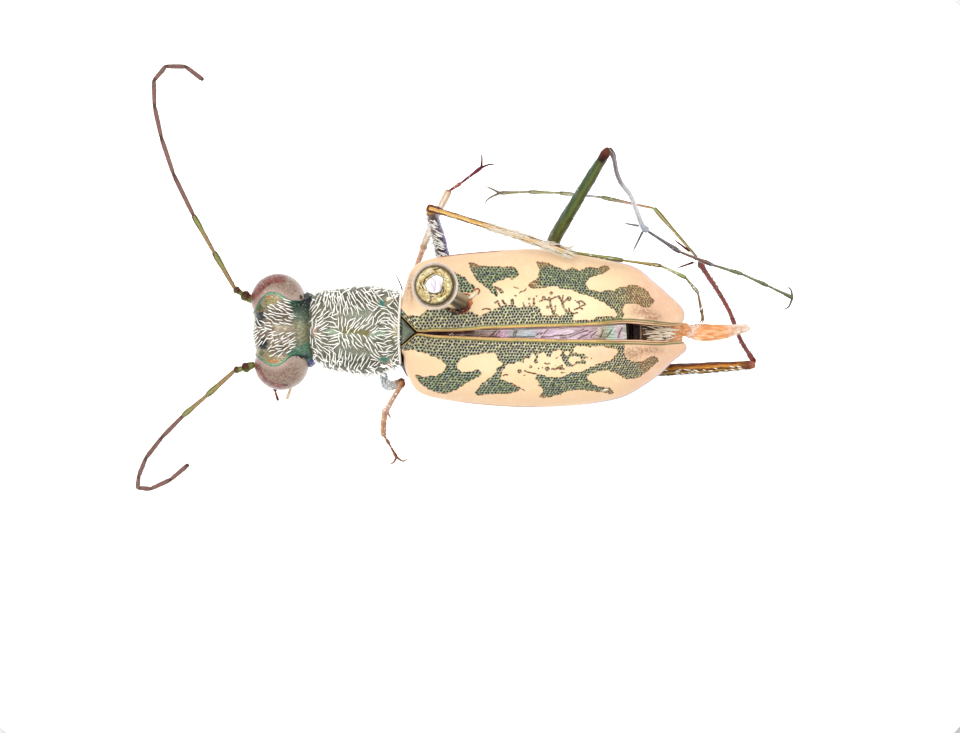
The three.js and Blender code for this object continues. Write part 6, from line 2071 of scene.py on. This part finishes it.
def combed(tree, rng, outline, bare, controls, lengths, radius, extent, across, ahead):
    """Hairs on a skin, combed along a flow. Places and lengths are in photo pixels."""
    outline = np.array(outline, float)
    places = rng.uniform(outline.min(0), outline.max(0), (14000, 2))
    places = places[inside_by(places, outline) > 0]
    for gap in bare:
        places = places[inside_by(places, gap) < 0]
    ways = flow(places, controls)
    kept = []
    for i, place in enumerate(places):
        offset = place - places[kept]
        forward = (offset * ways[kept]).sum(1) / ahead
        aside = (offset[:, 0] * ways[kept][:, 1] - offset[:, 1] * ways[kept][:, 0]) / across
        if not np.any(forward ** 2 + aside ** 2 < 1):
            kept.append(i)
    places, ways = places[kept], ways[kept]
    turn = rng.normal(0, 0.07, len(ways))
    ways = np.stack([ways[:, 0] * np.cos(turn) - ways[:, 1] * np.sin(turn),
                     ways[:, 0] * np.sin(turn) + ways[:, 1] * np.cos(turn)], 1)
    length = rng.uniform(*lengths, len(ways))
    start = seen(places - ways * length[:, None] / 2, -0.5)[:, :2]
    return lying(tree, start, ways * [1, -1], length / PIXELS_PER_MM, radius, extent, rng)


def bristly(shape, rng, count, keep, centre, way, lean, stray, lengths, radius, curl=0.25, extent=None):
    """Hairs where keep(places) is true, along one way and leaning out from the centre. Extent is unwrap's."""
    places, outs = roots_on(shape, rng, count, keep)
    outs = outs * np.sign(((places - centre) * outs).sum(1, keepdims=True))
    ways = np.array(way) + outs * lean + rng.normal(0, stray, places.shape)
    length = rng.uniform(*lengths, len(places))
    extent = extent or (places[:, 0].min() - 0.05, places[:, 0].max() + 0.05, (0, -2.2))
    return hairs(places - outs * 0.01, ways, outs, length, radius, unwrap(places, *extent), curl)


def pronotum_coat(shape):
    rng = np.random.default_rng(101)
    controls = [(x, MIDLINE - w, dx, -dw) for x, w, dx, dw in PRONOTUM_FLOW]
    controls += [(x, MIDLINE + w, dx, dw) for x, w, dx, dw in PRONOTUM_FLOW]
    extent = (-3.0, -0.4, (PRONOTUM_MIDDLE, -1.5))
    coat = combed(tree_of(shape), rng, PRONOTUM_OUTLINE, PRONOTUM_BARE, controls, lengths=(7.5, 11.5),
                  radius=0.02, extent=extent, across=2.4, ahead=6.9)
    add("pronotum_hairs", coat, PAINTS["white_hair"])

    # Hairs round the sides and below
    def low(places):
        return (places[:, 2] < -0.62) & (places[:, 0] > -2.85) & (places[:, 0] < -0.55)
    side = bristly(shape, rng, 430, low, (-1.7, 0.08, -1.5), (0.5, 0, 0.3), lean=0.85, stray=0.2,
                   lengths=(0.18, 0.32), radius=0.024, curl=0.3, extent=extent)
    add("pronotum_side_hairs", side, PAINTS["bright_hair"])


def head_coat(shape):
    rng = np.random.default_rng(111)
    extent = (-4.6, -3.0, (0.0, -1.5))
    tree = tree_of(shape)
    coats = [
        combed(tree, rng, outline, [], HEAD_FLOW, lengths=(6.0, 9.5), radius=0.0195, extent=extent,
               across=2.4, ahead=7.2)
        for outline in HEAD_OUTLINES]
    add("head_hairs", joined(coats), PAINTS["white_hair"])

    def face(places):
        return (places[:, 2] < -1.3) & (places[:, 0] < -3.7) & (np.abs(places[:, 1]) < 0.85)
    coat = bristly(shape, rng, 420, face, (-3.7, 0.0, -1.6), (-0.3, 0, -0.9), lean=0.5, stray=0.2,
                   lengths=(0.12, 0.24), radius=0.013, extent=extent)
    add("face_hairs", coat, PAINTS["white_hair"])


def shoulder_seta():
    path = sighted([[-0.36, 1.2, -0.78], [-0.42, 1.38, -0.62], [-0.57, 1.68, -0.45]])
    shape = Limb(path, [(0, 0.022), (0.5, 0.018), (1, 0.01)], rows=30, sides=8).shape()
    add("shoulder_seta", shape, PAINTS["black_hair"])


def trunk_coat(thorax, abdomen):
    rng = np.random.default_rng(121)

    def below(places):
        return (places[:, 2] < -1.95) & (np.abs(places[:, 1]) > 0.35)
    for name, shape, count, middle in (("thorax", thorax, 2600, 1.6), ("abdomen", abdomen, 1300, 5.2)):
        coat = bristly(shape, rng, count, below, (middle, 0, -2.2), (1.0, 0, -0.1), lean=0.4, stray=0.15,
                       lengths=(0.16, 0.34), radius=0.013)
        add(f"{name}_hairs", coat, PAINTS["white_hair"])


# Paints of the head and the pronotum, with their patches

def head_paint():
    """Bronze vertex, teal and copper round the eyes, blue behind them."""
    p = Paint("head", roughness=0.4, metallic=0.3)
    beige = p.ramp(p.noise(6.0, detail=4),
                   [(0.34, (150, 132, 104)), (0.5, (184, 170, 148)), (0.66, (166, 164, 132))])
    # Painted shade: darker red-brown between the hairs of the patches
    under = p.ramp(p.noise(9.0, detail=3), [(0.4, (76, 48, 42)), (0.6, (132, 104, 88))])
    beige = p.mix(p.times(p.value("coat"), 0.55), beige, under)
    back = p.ramp(p.value("side"), [
        (0.1, (56, 120, 110)), (0.25, (92, 134, 112)), (0.42, (142, 140, 106)), (0.6, (140, 140, 108)),
        (0.74, (84, 108, 88)), (0.88, (36, 62, 62))])
    body = p.patched(p.mix(p.value("back"), beige, back), HEAD_TINTS)
    stipple = p.times(p.between(p.noise(30.0, detail=2), 0.54, 0.64), p.value("back"))
    body = p.mix(p.times(stipple, 0.6), body, (196, 198, 180))
    tone = p.ramp(p.value("rim_place"), [
        (0.0, (50, 110, 84)), (0.2, (64, 160, 122)), (0.32, (120, 214, 176)), (0.58, (122, 212, 170)),
        (0.66, (30, 146, 84)), (0.78, (24, 84, 74)), (1.0, (18, 34, 54))])
    line = p.times(p.between(p.value("rim"), 0.1, 0.19, 1.0, 0.0), p.value("rimmed"))
    body = p.mix(line, body, tone)
    line = p.times(p.between(p.value("rim"), 0.03, 0.06, 1.0, 0.0), p.value("rimmed"))
    body = p.mix(line, body, (28, 46, 96))
    fine = p.noise(26.0, detail=2, stretch=(0.5, 1.4, 0.8), distortion=0.4)
    speck = p.ramp(fine, [(0.36, (36, 52, 44)), (0.5, MIDDLE_GREY), (0.66, (190, 182, 168))])
    p.set(Base_Color=p.mix(0.62, body, speck, "OVERLAY"))
    p.set(Roughness=p.wander(9.0, 0.32, 0.5))
    p.bump(fine, 0.014)
    return p.material


def pronotum_paint():
    p = Paint("pronotum", roughness=0.42, metallic=0.25)
    base = p.ramp(p.noise(2.6, detail=5), [
        (0.32, (140, 136, 112)), (0.45, (170, 168, 150)), (0.56, (150, 160, 136)),
        (0.68, (164, 150, 144))])
    grain = p.noise(20.0, detail=3, stretch=(1.3, 0.9, 0.9))
    shade = p.ramp(grain, [(0.36, (70, 74, 50)), (0.5, MIDDLE_GREY), (0.64, (186, 180, 176))])
    base = p.mix(0.6, base, shade, "OVERLAY")
    # Painted shade between the hairs, deepest on the flanks
    base = p.mix(p.times(p.value("coat"), 0.5), base, (94, 88, 62))
    base = p.mix(p.times(p.times(p.value("flank"), p.value("coat")), 0.85), base, (82, 80, 60))
    p.set(Base_Color=p.patched(base, PRONOTUM_TINTS))
    p.set(Roughness=p.wander(10.0, 0.36, 0.55))
    p.bump(grain, 0.014)
    p.bump(p.cells(34.0), 0.004)
    return p.material


def pale_edge_paint():
    p = Paint("pale_edge", roughness=0.3)
    p.set(Base_Color=p.mix(p.noise(7.0), (255, 255, 252), (226, 222, 206)))
    p.bump(p.noise(14.0), 0.006)
    return p.material


# Every paint by its name. Limbs have stops along them, as (share, colour).
PAINTS = {
    "steel": steel_paint(),
    "brass": brass_paint(),
    "flange": flange_paint(),
    "crown": crown_paint(),
    "wound": wound_paint(),
    "splinter_rust": banded_paint("splinter_rust", [(0, (206, 110, 72)), (1, (150, 70, 44))]),
    "splinter_white": banded_paint("splinter_white", [(0, (255, 250, 232)), (1, (250, 240, 214))],
                                   speck=(226, 206, 170), amount=0.3),
    "elytra": elytra_paint(),
    "wing": wing_paint(),
    "pronotum": pronotum_paint(),
    "scutellum": cuticle_paint("scutellum", (96, 100, 84), (150, 152, 128), (150, 130, 104),
                               (120, 140, 136)),
    "underside": cuticle_paint("underside", (46, 60, 48), (104, 116, 84), (176, 112, 74), (70, 104, 140),
                               back=(34, 10, 9)),
    "pale_edge": pale_edge_paint(),
    "tergite": tergite_paint(),
    "fibre": fibre_paint(),
    "head": head_paint(),
    "eye": eye_paint(),
    "ivory": ivory_paint(),
    "palp_dark": banded_paint("palp_dark",
                              [(0.0, (178, 112, 80)), (0.7, (120, 54, 44)), (1.0, (64, 30, 28))]),
    "palp_pale": banded_paint("palp_pale",
                              [(0.0, (244, 214, 184)), (0.7, (250, 230, 208)), (1.0, (244, 214, 186))],
                              speck=(226, 186, 150)),
    "scape": banded_paint("scape", [(0, (120, 140, 72)), (0.35, (132, 150, 80)), (0.6, (92, 56, 42)),
                                    (1, (66, 34, 30))], 0.3, 0.3,
                          stripes=[(0, (84, 44, 36)), (0.5, (104, 70, 48)), (1, (140, 166, 90))],
                          share=0.4),
    "antenna_base": banded_paint("antenna_base",
                                 [(0, (112, 76, 54)), (0.1, (172, 122, 88)), (0.45, (180, 136, 96)),
                                  (0.62, (168, 158, 84)), (0.85, (148, 174, 92)), (0.96, (120, 140, 76)),
                                  (1, (50, 56, 32))], 0.3, 0.3,
                                 stripes=[(0, (60, 50, 34)), (0.18, (84, 72, 46)), (0.32, (206, 186, 126)),
                                          (0.5, (124, 120, 78)), (0.7, (222, 194, 136)),
                                          (0.82, (84, 64, 44)), (1, (60, 44, 34))],
                                 share=0.6),
    "antenna": banded_paint("antenna", [(0.0, (92, 62, 56)), (0.1, (140, 104, 94)), (0.8, (136, 102, 96)),
                                        (1.0, (84, 60, 56))], 0.55, 0.0),
    # The white, bright and cream hairs glow a little, the bright ones most: painted light
    "white_hair": hair_paint("white_hair", (255, 252, 240), (255, 255, 252), 0.12),
    "bright_hair": hair_paint("bright_hair", (255, 252, 240), (255, 255, 252), 0.35),
    "cream_hair": hair_paint("cream_hair", (206, 176, 134), (255, 252, 240), 0.12),
    "dark_hair": hair_paint("dark_hair", (96, 76, 66), (150, 128, 112)),
    "black_hair": hair_paint("black_hair", (30, 22, 24), (60, 48, 50)),
    "rust_hair": hair_paint("rust_hair", (60, 18, 14), (92, 32, 26)),
}
for leg_name, parts in LEG_COLOURS.items():
    for part, (stops, stripes, *share) in parts.items():
        title = f"{part}_{leg_name}"
        is_femur = part == "femur"
        PAINTS[title] = banded_paint(
            title, stops, roughness=0.38, metallic=0.2, grain=24.0, speck=(60, 40, 30), stripes=stripes,
            share=share[0] if share else 0.8 if is_femur else 0.45, until=0.95 if is_femur else 1.1,
            amount=0.3)


# Assembly

camera()
floor()
world = bpy.data.worlds.new("soft_light")
world.use_nodes = True
backdrop = world.node_tree.nodes["Background"]
backdrop.inputs["Color"].default_value = (1.0, 1.0, 1.0, 1.0)
backdrop.inputs["Strength"].default_value = WORLD_STRENGTH
bpy.context.scene.world = world
lamp("key", (-0.03, 0.04, 0.22), power=0.3, width=0.12)
bpy.context.scene.view_settings.view_transform = "Standard"

foam = foam_block()
light_only(lamp("foam_light", (0, 0, 0.25), power=1.0, width=0.2), foam)
insect_pin()
wound(wing_case("right", RIGHT_SUTURE, RIGHT_MARGIN, 1), wing_case("left", LEFT_SUTURE, LEFT_MARGIN, 2))
hind_wing("right", [(0.1, -0.06), (1.62, -0.14), (3.0, -0.3), (5.0, -0.34), (5.84, -0.3), (5.88, -0.1)],
          [(0.1, 0.3), (1.5, 0.9), (3.0, 1.3), (5.0, 1.1), (5.8, 0.4), (5.86, 0.2)], -0.24, 3)
hind_wing("left", [(1.6, -0.4), (3.0, -0.5), (5.0, -0.54), (6.0, -0.52)],
          [(1.5, -1.2), (3.0, -1.4), (5.0, -1.3), (6.0, -0.95)], -0.5, 4)
pronotum_skin = pronotum()
scutellum()
thorax_skin, abdomen_skin = trunk()
last_tergite()
aedeagus()
head_skin = head()
eyes()
mouth()
palps()
antennae()
legs()
pronotum_coat(pronotum_skin)
head_coat(head_skin)
shoulder_seta()
trunk_coat(thorax_skin, abdomen_skin)
